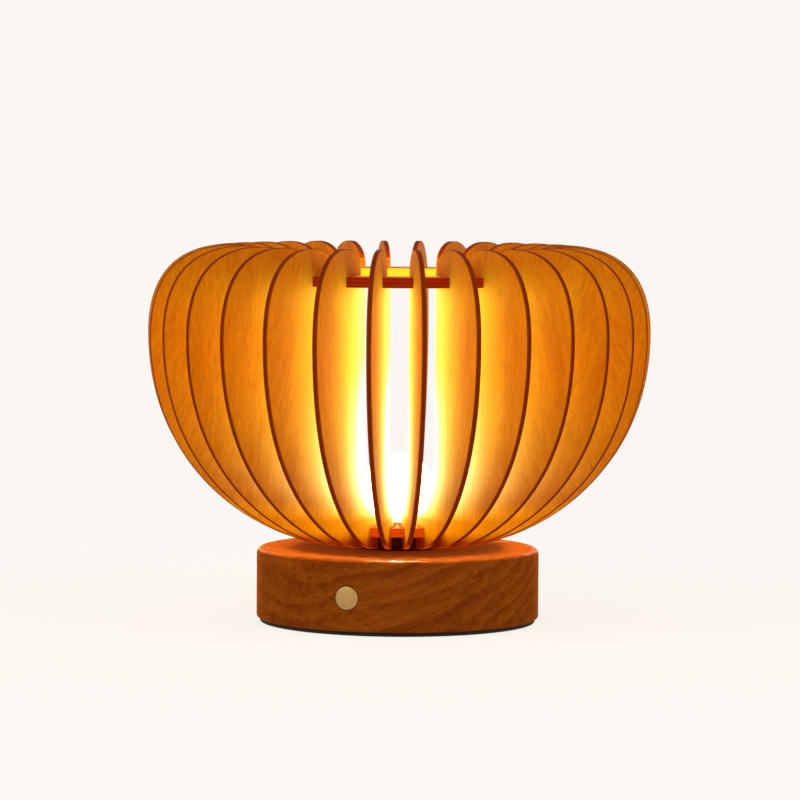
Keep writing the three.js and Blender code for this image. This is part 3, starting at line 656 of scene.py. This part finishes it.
def finish(context, slot):
    """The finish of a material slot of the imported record, made once."""
    lamp = context.scene.lamp
    if slot not in FINISHES:
        kinds = {
            "plywood": lambda: plywood_finish(lamp.colours, lamp.shade, lamp.light),
            "walnut": lambda: turned_wood_finish(lamp.colours),
            "lacquer": lambda: lacquer_finish(lamp.colours),
            "felt": lambda: pad_finish(lamp.colours),
            "opal": lambda: opal_finish(lamp.colours, lamp.light),
            "collar": lambda: painted_glow_collar_finish(lamp.colours, lamp.light),
            "brass": lambda: brass_finish(lamp.colours),
            "cover_plastic": lambda: moulded_finish("Cover plastic", srgb(42, 37, 34), 0.6),
            "white_plastic": lambda: moulded_finish("White plastic", srgb(238, 230, 214), 0.45),
            "dark_plastic": lambda: moulded_finish("Dark plastic", srgb(29, 27, 26), 0.5),
            "circuit": circuit_finish,
            "aluminium": lambda: metal_finish("Light board", srgb(216, 216, 210), 0.4, 2.0),
            "steel": lambda: metal_finish("Zinc-plated steel", srgb(180, 180, 172), 0.35, (2.0, 2.0, 6.0)),
            "cell_wrap": wrap_finish,
            "sheath": sheath_finish,
        }
        FINISHES[slot] = kinds[slot]()
    return FINISHES[slot]


# ---------------------------------------------------------------------------------------------
# Shapes
# ---------------------------------------------------------------------------------------------

CRISP = math.radians(28)
ON_AXIS = 1e-9
WELD = 1e-6
FLAT = 0.99
BASE_SIDES, PAD_SIDES, SPACER_SIDES, DOME_SIDES, BUTTON_SIDES, BORE_SIDES = 240, 192, 144, 128, 96, 64
FIN_VENEERS, RING_VENEERS = 3, 5
# How far the two handles of each curve of a fin reach, as shares of the curve's width or height.
BELLY_HANDLES = (0.24, 0.74)
SHOULDER_HANDLES = (0.735, 0.56)


def spline(start, first, second, end, steps):
    """Points of a cubic curve with two handles."""
    points = []
    for step in range(steps + 1):
        t = step / steps
        a, b, c, d = (1 - t) ** 3, 3 * t * (1 - t) ** 2, 3 * t * t * (1 - t), t ** 3
        points.append(tuple(
            a * start[k] + b * first[k] + c * second[k] + d * end[k] for k in range(2)
        ))
    return points


def arc(centre, radii, start, end, steps):
    """Points of an arc of an ellipse, from one angle to another."""
    return [
        (centre[0] + radii[0] * math.cos(turn), centre[1] + radii[1] * math.sin(turn))
        for turn in (start + (end - start) * step / steps for step in range(steps + 1))
    ]


def foot_corner(x, y, radius, steps=4):
    """The rounded outer corner at the foot of a lathed outline; x and y are where it would be sharp."""
    return arc((x - radius, y + radius), (radius, radius), -QUARTER_TURN, 0, steps)


def head_corner(x, y, radius, steps=4):
    """The rounded outer corner at the head of a lathed outline; x and y are where it would be sharp."""
    return arc((x - radius, y - radius), (radius, radius), 0, QUARTER_TURN, steps)


def finished_mesh(name, bm):
    """Turns a bmesh into a mesh with smooth curves and crisp edges."""
    mesh = bpy.data.meshes.new(name)
    bmesh.ops.recalc_face_normals(bm, faces=bm.faces)
    for face in bm.faces:
        face.smooth = True
    bm.to_mesh(mesh)
    bm.free()
    mesh.set_sharp_from_angle(angle=CRISP)
    return mesh


def lathe(outline, steps):
    """A bmesh turned about +Z from a closed outline of (radius, height) points."""
    bm = bmesh.new()
    turns = [2 * math.pi * k / steps for k in range(steps)]
    rings = []
    for radius, height in outline:
        if radius < ON_AXIS:
            rings.append([bm.verts.new((0, 0, height))])
        else:
            rings.append([
                bm.verts.new((radius * math.cos(turn), radius * math.sin(turn), height)) for turn in turns
            ])
    for lower, upper in zip(rings, rings[1:] + rings[:1]):
        for k in range(steps):
            following = (k + 1) % steps
            corners = list(dict.fromkeys((
                lower[k % len(lower)], lower[following % len(lower)],
                upper[following % len(upper)], upper[k % len(upper)],
            )))
            if len(corners) > 2:
                bm.faces.new(corners)
    return bm


def outwards(bm, turn, height):
    """Turns a lathed shape so that its +Z runs out of the base at an angle from the front."""
    lay = Matrix.Rotation(QUARTER_TURN, 4, "X")
    swing = Matrix.Rotation(turn, 4, "Z")
    bmesh.ops.transform(bm, matrix=Matrix.Translation((0, 0, height)) @ swing @ lay, verts=bm.verts)
    return bm


def carved(mesh, cutters):
    """A mesh with other meshes cut out of it."""
    body = bpy.data.objects.new("carving", mesh)
    bpy.context.scene.collection.objects.link(body)
    tools = []
    for number, bm in enumerate(cutters):
        bmesh.ops.recalc_face_normals(bm, faces=bm.faces)
        shape = bpy.data.meshes.new(f"cutter_{number}")
        bm.to_mesh(shape)
        bm.free()
        tool = bpy.data.objects.new(f"cutter_{number}", shape)
        bpy.context.scene.collection.objects.link(tool)
        tools.append(tool)
        cut = body.modifiers.new("cut", "BOOLEAN")
        cut.operation, cut.object, cut.solver = "DIFFERENCE", tool, "EXACT"
    graph = bpy.context.evaluated_depsgraph_get()
    result = bpy.data.meshes.new_from_object(body.evaluated_get(graph))
    for thing in [body, *tools]:
        shape = thing.data
        bpy.data.objects.remove(thing)
        bpy.data.meshes.remove(shape)
    for polygon in result.polygons:
        polygon.use_smooth = True
    result.set_sharp_from_angle(angle=CRISP)
    return result


def put_in_order(items, place):
    """Sorts a bmesh's points or faces by place, because its tools leave them in no fixed order."""
    ranks = {item: rank for rank, item in enumerate(sorted(items, key=place))}
    items.sort(key=ranks.get)


def cut_sheet(name, faces, thickness, ply, settings, grain, shift):
    """A plywood part from flat faces: its cut edges are eased and marked as scorched.

    The attribute sheet holds each point's place along the grain, across it and through the veneers,
    and the attribute scorch is 1 on a cut edge and fades to 0 on the face.
    """
    bm = bmesh.new()
    for points in faces:
        bm.faces.new([bm.verts.new((x, y, -thickness / 2)) for x, y in points])
    bmesh.ops.remove_doubles(bm, verts=bm.verts, dist=WELD)
    lifted = bmesh.ops.extrude_face_region(bm, geom=bm.faces[:])["geom"]
    raised = [item for item in lifted if isinstance(item, bmesh.types.BMVert)]
    bmesh.ops.translate(bm, vec=(0, 0, thickness), verts=raised)
    bmesh.ops.recalc_face_normals(bm, faces=bm.faces)
    rims = [
        edge for edge in bm.edges
        if len(edge.link_faces) == 2 and sum(abs(face.normal.z) > 0.5 for face in edge.link_faces) == 1
    ]
    bmesh.ops.bevel(
        bm, geom=rims, offset=settings.chamfer, offset_type="OFFSET", segments=1, profile=0.5,
        affect="EDGES", clamp_overlap=False,
    )

    def cap(side):
        """The flat faces of one side."""
        return [face for face in bm.faces if face.normal.z * side > FLAT]

    for side in (1, -1):
        bmesh.ops.inset_region(bm, faces=cap(side), thickness=settings.scorch, use_even_offset=True)
    put_in_order(bm.verts, lambda vert: tuple(vert.co))
    put_in_order(bm.faces, lambda face: tuple(face.calc_center_median()))
    flat = cap(1) + cap(-1)
    rim = {
        vert for face in flat for edge in face.edges
        if any(abs(other.normal.z) < FLAT for other in edge.link_faces) for vert in edge.verts
    }
    inner = {vert for face in flat for vert in face.verts} - rim
    scorched = [0.0 if vert in inner else 1.0 for vert in bm.verts]
    cosine, sine = math.cos(grain), math.sin(grain)
    sheet = []
    for vert in bm.verts:
        x, y = vert.co.x / MM, vert.co.y / MM
        sheet += [x * cosine + y * sine + shift[0], y * cosine - x * sine + shift[1], vert.co.z / ply]
    mesh = finished_mesh(name, bm)
    mesh.attributes.new("scorch", "FLOAT", "POINT").data.foreach_set("value", scorched)
    mesh.attributes.new("sheet", "FLOAT_VECTOR", "POINT").data.foreach_set("vector", sheet)
    return mesh


def notch(edge, lap, low, high, fit):
    """The slot in a fin's inner edge that a ring is lapped into, from its upper corner to its lower."""
    return [(edge, high + fit), (lap, high + fit), (lap, low - fit), (edge, low - fit)]


def fin_outline(shade):
    """Outline of one fin as (radius, height above the floor) points, from its foot outwards."""
    foot, top = FIN_LOW.z, FIN_LOW.z + shade.fin_height
    widest = (shade.widest, foot + shade.belly_rise)
    shoulder = (shade.shoulder, top)
    heel = (shade.toe + shade.toe_flat, foot)
    belly = spline(
        heel, (heel[0] + BELLY_HANDLES[0] * (widest[0] - heel[0]), foot),
        (widest[0], widest[1] - BELLY_HANDLES[1] * (widest[1] - foot)), widest, steps=56,
    )
    rim = spline(
        widest, (widest[0], widest[1] + SHOULDER_HANDLES[0] * (top - widest[1])),
        (shoulder[0] + SHOULDER_HANDLES[1] * (widest[0] - shoulder[0]), top), shoulder, steps=40,
    )
    mouth = arc(
        (shade.shoulder, top - shade.mouth_drop), (shade.shoulder - shade.mouth, shade.mouth_drop),
        QUARTER_TURN, HALF_TURN, steps=22,
    )
    ring_lap = (shade.mouth + shade.ring_outer) / 2 + shade.fit
    bowl = arc(
        (shade.toe, PLATE_HIGH.z + shade.inner_rise),
        (shade.mouth - shade.toe, shade.inner_rise - shade.lip), 0, -QUARTER_TURN, steps=30,
    )
    plate_lap = (shade.toe + shade.plate_outer) / 2 + shade.fit
    return [
        (shade.toe, foot), *belly, *rim[1:], *mouth[1:],
        *notch(shade.mouth, ring_lap, RING_LOW.z, RING_HIGH.z, shade.fit), *bowl,
        *notch(shade.toe, plate_lap, PLATE_LOW.z, PLATE_HIGH.z, shade.fit),
    ]


def slotted_ring(shade, inner, lap, outer):
    """Flat faces of a ring with one slot for each fin, cut in from its outer edge."""
    half = shade.fin_thickness / 2 + shade.fit
    pitch = 2 * math.pi / shade.fin_count
    near, far = math.asin(half / lap), math.asin(half / outer)
    steps = 6

    def patch(inside, inside_turns, outside, outside_turns):
        """A face between two radii and two directions."""
        corners = (
            (inside, inside_turns[0]), (outside, outside_turns[0]),
            (outside, outside_turns[1]), (inside, inside_turns[1]),
        )
        return [(radius * math.cos(turn), radius * math.sin(turn)) for radius, turn in corners]

    faces = []
    for number in range(shade.fin_count):
        slot = -QUARTER_TURN + (number + 0.5) * pitch
        sides = (slot - near, slot + near)
        faces.append(patch(inner, sides, lap, sides))
        for step in range(steps):
            shares = (step / steps, (step + 1) / steps)
            low = [slot + near + (pitch - 2 * near) * share for share in shares]
            high = [slot + far + (pitch - 2 * far) * share for share in shares]
            faces += [patch(inner, low, lap, low), patch(lap, low, outer, high)]
    return faces


# ---------------------------------------------------------------------------------------------
# Pieces and lights
# ---------------------------------------------------------------------------------------------


def new_piece(context, name, mesh, slot, node, look=None):
    """Puts a mesh in the scene as a piece of the lamp that stands for a CAD node."""
    piece = bpy.data.objects.new(name, mesh)
    context.scene.collection.objects.link(piece)
    mesh.materials.append(finish(context, look or slot))
    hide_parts(node)
    return piece


def turned_piece(context, name, outline, steps, slot, node, look=None):
    """A piece turned about the lamp's axis."""
    return new_piece(context, name, finished_mesh(name, lathe(outline, steps)), slot, node, look)


def new_lamp(context, name, kind, watts, place, **settings):
    """A light of the scene, with the settings of its kind."""
    data = bpy.data.lights.new(name, kind)
    data.energy = watts
    for setting, value in settings.items():
        setattr(data, setting, value)
    lamp = bpy.data.objects.new(name, data)
    lamp.location = place
    context.scene.collection.objects.link(lamp)
    return lamp


# ---------------------------------------------------------------------------------------------
# Operators
# ---------------------------------------------------------------------------------------------


class LAMP_OT_fins(bpy.types.Operator):
    """Build the upright plywood fins"""

    bl_idname = "lamp.fins"
    bl_label = "Fins"

    def execute(self, context):
        shade = context.scene.lamp.shade
        chance = random.Random(28)
        grain_sway, sheet_size = 24, 900
        outline = fin_outline(shade)
        pitch = 2 * math.pi / shade.fin_count
        veneer = shade.fin_thickness / FIN_VENEERS
        stand = Matrix.Rotation(QUARTER_TURN, 4, "X")
        for number in range(shade.fin_count):
            label = f"{number + 1:02d}"
            name = f"shade_fin_{label}"
            grain = math.radians(90 + chance.uniform(-grain_sway, grain_sway))
            shift = (chance.uniform(0, sheet_size), chance.uniform(0, sheet_size))
            mesh = cut_sheet(name, [outline], shade.fin_thickness, veneer, shade, grain, shift)
            fin = new_piece(context, name, mesh, "plywood", f"fin_{label}")
            fin.matrix_world = Matrix.Rotation(-QUARTER_TURN + (number + 0.5) * pitch, 4, "Z") @ stand
            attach(fin, "lamp")
        return {"FINISHED"}


class LAMP_OT_rings(bpy.types.Operator):
    """Build the upper ring and the lower plate that hold the fins"""

    bl_idname = "lamp.rings"
    bl_label = "Rings"

    def execute(self, context):
        shade = context.scene.lamp.shade
        rings = (
            ("shade_ring", "top_ring", shade.ring_inner, (shade.mouth + shade.ring_outer) / 2,
             shade.ring_outer, RING_LOW.z, RING_HIGH.z, 0.3, (140.0, 60.0)),
            ("shade_plate", "lower_plate", shade.wire_hole, (shade.toe + shade.plate_outer) / 2,
             shade.plate_outer, PLATE_LOW.z, PLATE_HIGH.z, 1.1, (400.0, 210.0)),
        )
        for name, node, inner, lap, outer, low, high, grain, shift in rings:
            thickness = high - low
            faces = slotted_ring(shade, inner, lap, outer)
            mesh = cut_sheet(name, faces, thickness, thickness / RING_VENEERS, shade, grain, shift)
            ring = new_piece(context, name, mesh, "plywood", node)
            ring.location.z = (low + high) / 2
            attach(ring, "lamp")
        return {"FINISHED"}


class LAMP_OT_base(bpy.types.Operator):
    """Turn the wooden base, the pad under it and the spacer on it"""

    bl_idname = "lamp.base"
    bl_label = "Base"

    def execute(self, context):
        lamp = context.scene.lamp
        base, hole = lamp.base, lamp.shade.wire_hole
        mesh = carved(self.block(base, hole), self.bores(base, lamp.button))
        mesh.name = "base_turned"
        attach(new_piece(context, "base_turned", mesh, "walnut", "base_body"), "lamp")

        edge = (PAD_HIGH.x - PAD_LOW.x) / 2
        pad = turned_piece(context, "base_pad", [
            (0, 0), *foot_corner(edge, 0, base.pad_edge), *head_corner(edge, PAD_HIGH.z, base.pad_edge),
            (0, PAD_HIGH.z),
        ], PAD_SIDES, "felt", "foot_pad")
        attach(pad, "lamp")

        wide, foot, head = SPACER_HIGH.x, SPACER_LOW.z, SPACER_HIGH.z
        cove, ease = base.spacer_cove, 0.4 * MM
        waist = arc(
            (wide, (foot + head) / 2), (cove, (head - foot) / 2 - cove / 2),
            -QUARTER_TURN, -3 * QUARTER_TURN, steps=24,
        )
        spacer = turned_piece(context, "light_spacer", [
            (hole, foot), *foot_corner(wide, foot, ease), *waist, *head_corner(wide, head, ease),
            (hole, head),
        ], SPACER_SIDES, "lacquer", "pedestal")
        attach(spacer, "lamp")
        return {"FINISHED"}

    @staticmethod
    def half_width():
        """Radius of the CAD base."""
        return max(vert.co.xy.length for vert in frame["nodes"]["base_body"].data.vertices)

    def block(self, base, hole):
        """The base's wood before the holes in its side are bored."""
        radius, low, high = self.half_width(), BASE_LOW.z, BASE_HIGH.z
        return finished_mesh("base_turned", lathe([
            (hole, base.roof), (base.cavity, base.roof), (base.cavity, base.cover_seat),
            (base.ledge, base.cover_seat), (base.ledge, low),
            *foot_corner(radius, low, base.foot_round, steps=6),
            *head_corner(radius, high, base.top_round, steps=10),
            (hole, high),
        ], BASE_SIDES))

    def bores(self, base, button):
        """What is bored out of the wood for the button and, opposite, for the charging socket."""
        past = 5 * MM
        radius = self.half_width()
        start, mouth, neck = base.cavity - past, radius - base.bore_ease, button.socket_body + 0.3 * MM
        wall = base.socket_seat - base.nut_wall
        button_bore = lathe([
            (0, start), (base.sleeve_bore, start), (base.sleeve_bore, base.shoulder),
            (base.bore, base.shoulder), (base.bore, mouth), (base.bore + past, mouth + past),
            (0, mouth + past),
        ], BORE_SIDES)
        socket_bore = lathe([
            (0, start), (base.nut_bore, start), (base.nut_bore, wall), (neck, wall),
            (neck, base.socket_seat), (base.socket_bore, base.socket_seat),
            (base.socket_bore, radius + past), (0, radius + past),
        ], BORE_SIDES)
        middle = BASE_HIGH.z / 2
        return [
            outwards(button_bore, button.turn, middle),
            outwards(socket_bore, button.turn + HALF_TURN, middle),
        ]


class LAMP_OT_light(bpy.types.Operator):
    """Build the opal dome and its holder, and light them"""

    bl_idname = "lamp.light"
    bl_label = "Light"

    def execute(self, context):
        light = context.scene.lamp.light
        radius = (DOME_HIGH.x - DOME_LOW.x) / 2
        inner = radius - light.dome_wall
        low, spring = DOME_LOW.z, DOME_HIGH.z - radius
        dome = turned_piece(context, "light_dome", [
            *arc((0, spring), (inner, inner), QUARTER_TURN, 0, steps=28), (inner, low),
            *foot_corner(radius, low, 0.5 * MM),
            *arc((0, spring), (radius, radius), 0, QUARTER_TURN, steps=32),
        ], DOME_SIDES, "opal", "diffuser")
        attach(dome, "lamp")

        # The holder takes the collar finish, which paints the dome's light on it as emission.
        wide = (HOLDER_HIGH.x - HOLDER_LOW.x) / 2
        foot, head, seat = HOLDER_LOW.z, HOLDER_HIGH.z, HOLDER_HIGH.z - light.holder_recess
        holder = turned_piece(context, "light_holder", [
            (light.holder_hole, foot), *foot_corner(wide, foot, 0.4 * MM),
            *head_corner(wide, head, 0.6 * MM, steps=5), (light.holder_rim, head),
            (light.holder_rim, seat), (light.holder_hole, seat),
        ], DOME_SIDES, "white_plastic", "led_holder", "collar")
        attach(holder, "lamp")

        lit = self.lit_collection(context)
        dome.light_linking.receiver_collection = lit
        self.inner_lights(context, light, lit)
        self.foot_lights(context, light)
        return {"FINISHED"}

    @staticmethod
    def lit_collection(context):
        """Everything that the dome's light falls on: the lamp without the floor."""
        lit = bpy.data.collections.new("lit_by_the_dome")
        for piece in context.scene.objects:
            if piece.type == "MESH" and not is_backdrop(piece):
                lit.objects.link(piece)
        return lit

    @staticmethod
    def inner_lights(context, light, lit):
        """The light that the dome throws up into the shade."""
        for number, height in enumerate((115 * MM, 140 * MM, 165 * MM)):
            lamp = new_lamp(
                context, f"inner_light_{number + 1}", "POINT", light.inner_power, (0, 0, height),
                color=light.glow, shadow_soft_size=light.inner_radius,
            )
            lamp.visible_camera = lamp.visible_glossy = False
            lamp.light_linking.receiver_collection = lit

    @staticmethod
    def foot_lights(context, light):
        """The light that falls past the fins on the base, and its glint on the base's edge."""
        on_base = bpy.data.collections.new("lit_on_the_base")
        on_base.objects.link(bpy.data.objects["base_turned"])
        for name, watts, height, radius, glint in (
            ("foot_light", light.foot_power, 125 * MM, 20 * MM, False),
            ("glint_light", light.glint_power, 85 * MM, 10 * MM, True),
        ):
            lamp = new_lamp(
                context, name, "POINT", watts, (0, 0, height),
                color=light.foot_colour, shadow_soft_size=radius,
            )
            lamp.visible_camera = False
            lamp.visible_diffuse = not glint
            lamp.visible_glossy = glint
            lamp.light_linking.receiver_collection = on_base


class LAMP_OT_button(bpy.types.Operator):
    """Build the brass push button"""

    bl_idname = "lamp.button"
    bl_label = "Button"

    def execute(self, context):
        size = context.scene.lamp.button
        front = size.face - size.depth
        back = front - size.flange_depth
        ease = 0.2 * MM
        # The chamfer round the face is crowned by two more rings.
        cap = outwards(lathe([
            (0, size.stem_end), (size.stem, size.stem_end), (size.stem, back),
            *foot_corner(size.flange, back, ease, steps=3), *head_corner(size.flange, front, ease, steps=3),
            (size.radius, front), (size.radius, size.face - size.edge),
            (size.radius - 0.08 * MM, size.face - size.edge * 0.55),
            (size.radius - size.edge * 0.6, size.face - 0.06 * MM),
            (size.radius - size.edge, size.face), (0, size.face),
        ], BUTTON_SIDES), size.turn, BASE_HIGH.z / 2)
        piece = new_piece(context, "button_disc", finished_mesh("button_disc", cap), "brass", "button_cap")
        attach(piece, "button")
        return {"FINISHED"}


class LAMP_OT_socket(bpy.types.Operator):
    """Build the charging socket in the back of the base"""

    bl_idname = "lamp.socket"
    bl_label = "Charging socket"

    def execute(self, context):
        size = context.scene.lamp.button
        face, ease = size.socket_face, 0.4 * MM
        seat, pin_top = face - 1 * MM, face - 1 * MM
        floor, end = face - size.socket_depth, seat - size.socket_length
        shape = outwards(lathe([
            (0, end), (size.socket_body, end), (size.socket_body, seat), (size.socket_rim, seat),
            *head_corner(size.socket_rim, face, 0.35 * MM, steps=5), (size.socket_hole + ease, face),
            (size.socket_hole, face - ease), (size.socket_hole, floor), (size.socket_pin, floor),
            (size.socket_pin, pin_top - ease), (size.socket_pin * 0.6, pin_top), (0, pin_top),
        ], BORE_SIDES), size.turn + HALF_TURN, BASE_HIGH.z / 2)
        mesh = finished_mesh("charge_inlet", shape)
        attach(new_piece(context, "charge_inlet", mesh, "dark_plastic", "charging_socket"), "lamp")
        return {"FINISHED"}


class LAMP_OT_inner_parts(bpy.types.Operator):
    """Give the parts inside the lamp their finishes"""

    bl_idname = "lamp.inner_parts"
    bl_label = "Inner parts"

    def execute(self, context):
        slots = {
            "led_board": "aluminium", "base_cover": "cover_plastic", "button_sleeve": "dark_plastic",
            "switch_body": "dark_plastic", "switch_plunger": "white_plastic", "control_board": "circuit",
            "battery_cell": "cell_wrap", "battery_cradle": "dark_plastic", "led_lead": "sheath",
            "battery_lead": "sheath", "socket_lead": "sheath",
        }
        for name, node in frame["nodes"].items():
            slot = "steel" if "screw" in name else slots.get(name)
            if slot:
                node.data.materials.clear()
                node.data.materials.append(finish(context, slot))
        return {"FINISHED"}


class LAMP_OT_stage(bpy.types.Operator):
    """Set up the pale floor, the soft light and the camera"""

    bl_idname = "lamp.stage"
    bl_label = "Stage"

    def execute(self, context):
        settings = context.scene.lamp.stage
        backdrop = context.scene.lamp.colours.backdrop
        context.scene.view_settings.view_transform = "Standard"
        self.world(context, settings, backdrop)
        self.floor(context, settings, backdrop)
        self.softboxes(context, settings)
        self.camera(context, settings)
        return {"FINISHED"}

    @staticmethod
    def seen(r):
        """1 for rays that show the background: those of the camera, of gloss and of glass."""
        path = r.node("ShaderNodeLightPath", output="Is Camera Ray")
        mirrored = r.maths("MAXIMUM", path.out("Is Glossy Ray"), path.out("Is Transmission Ray"))
        return r.maths("MAXIMUM", path, mirrored)

    def world(self, context, settings, backdrop):
        """Plain soft light from all sides, with the backdrop's colour behind the lamp."""
        world = bpy.data.worlds.new("Studio")
        context.scene.world = world
        r = Recipe(world)
        ambient = r.node("ShaderNodeBackground", None, {"Color": (1, 1, 1), "Strength": settings.ambient})
        shown = r.node("ShaderNodeBackground", None, {"Color": backdrop, "Strength": 1.0})
        both = r.node("ShaderNodeMixShader", None, {0: self.seen(r), 1: ambient, 2: shown})
        r.node("ShaderNodeOutputWorld", None, {"Surface": both})

    def floor(self, context, settings, backdrop):
        """A wide round floor in the backdrop's colour, which keeps the lamp's shadow."""
        radius, shadow_end, open_from = 6.0, 0.5, 2.0
        bm = bmesh.new()
        bmesh.ops.create_circle(bm, cap_ends=True, segments=96, radius=radius)
        mesh = bpy.data.meshes.new("studio_floor")
        bm.to_mesh(mesh)
        bm.free()
        floor = bpy.data.objects.new("studio_floor", mesh)
        floor.location.z = -0.2 * MM
        context.scene.collection.objects.link(floor)
        r = new_finish("Studio floor")
        mesh.materials.append(r.owner)
        reach = r.vectors("LENGTH", r.node("ShaderNodeTexCoord", output="Object"), output="Value")
        plain = (1.0 - settings.shadow) + r.step(reach, shadow_end, open_from) * settings.shadow
        paint = r.node("ShaderNodeBsdfDiffuse", None, {"Color": backdrop})
        level = (1.0 - (1.0 - plain) * settings.floor_level) / plain
        shown = r.node("ShaderNodeEmission", None, {"Color": backdrop, "Strength": level})
        both = r.node("ShaderNodeMixShader", None, {0: self.seen(r) * plain, 1: paint, 2: shown})
        r.node("ShaderNodeOutputMaterial", None, {"Surface": both})
        floor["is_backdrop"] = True

    @staticmethod
    def softboxes(context, settings):
        """Two large square lights, turned to the lamp's middle."""
        middle, width = Vector((0, 0, 0.1)), 1.4
        for name, watts, place in (
            ("key_softbox", settings.key, (-1.7, -1.5, 1.5)),
            ("fill_softbox", settings.fill, (1.9, -1.0, 1.1)),
        ):
            lamp = new_lamp(context, name, "AREA", watts, place, shape="SQUARE", size=width)
            lamp.rotation_euler = (middle - Vector(place)).to_track_quat("-Z", "Y").to_euler()

    @staticmethod
    def camera(context, settings):
        """The camera, at the height and distance that the outlines of the lamp show."""
        data = bpy.data.cameras.new("front_camera")
        data.lens = settings.lens
        data.clip_end = 100
        camera = bpy.data.objects.new("front_camera", data)
        context.scene.collection.objects.link(camera)
        turn, distance = settings.camera_turn, settings.camera_distance
        camera.location = (distance * math.sin(turn), -distance * math.cos(turn), settings.camera_height)
        aim = Vector((settings.aim_side, 0, settings.aim_height)) - camera.location
        level = aim.to_track_quat("-Z", "Y")
        camera.rotation_euler = (level @ Quaternion((0, 0, 1), settings.camera_roll)).to_euler()
        context.scene.camera = camera


class LAMP_PT_panel(bpy.types.Panel):
    """Lists the lamp's pieces and their sizes"""

    bl_idname = "LAMP_PT_panel"
    bl_label = "Fin Lamp"
    bl_space_type = "VIEW_3D"
    bl_region_type = "UI"
    bl_category = "Fin Lamp"

    def draw(self, context):
        layout = self.layout
        settings = context.scene.lamp
        for operator in OPERATORS:
            layout.operator(operator.bl_idname)
        for group in (settings.shade, settings.base, settings.light, settings.button,
                      settings.colours, settings.stage):
            box = layout.box()
            for name in group.__annotations__:
                box.prop(group, name)


OPERATORS = (
    LAMP_OT_fins, LAMP_OT_rings, LAMP_OT_base, LAMP_OT_light, LAMP_OT_button, LAMP_OT_socket,
    LAMP_OT_inner_parts, LAMP_OT_stage,
)
CLASSES = (
    ShadeSizes, BaseSizes, LightSizes, ButtonSizes, LampColours, StageSettings, LampSettings,
    *OPERATORS, LAMP_PT_panel,
)


def register():
    for kind in CLASSES:
        bpy.utils.register_class(kind)
    bpy.types.Scene.lamp = PointerProperty(type=LampSettings)


def unregister():
    del bpy.types.Scene.lamp
    for kind in reversed(CLASSES):
        bpy.utils.unregister_class(kind)


def main():
    register()
    bpy.ops.lamp.stage()
    bpy.ops.lamp.fins()
    bpy.ops.lamp.rings()
    bpy.ops.lamp.base()
    bpy.ops.lamp.button()
    bpy.ops.lamp.socket()
    bpy.ops.lamp.inner_parts()
    bpy.ops.lamp.light()


if __name__ == "__main__":
    main()
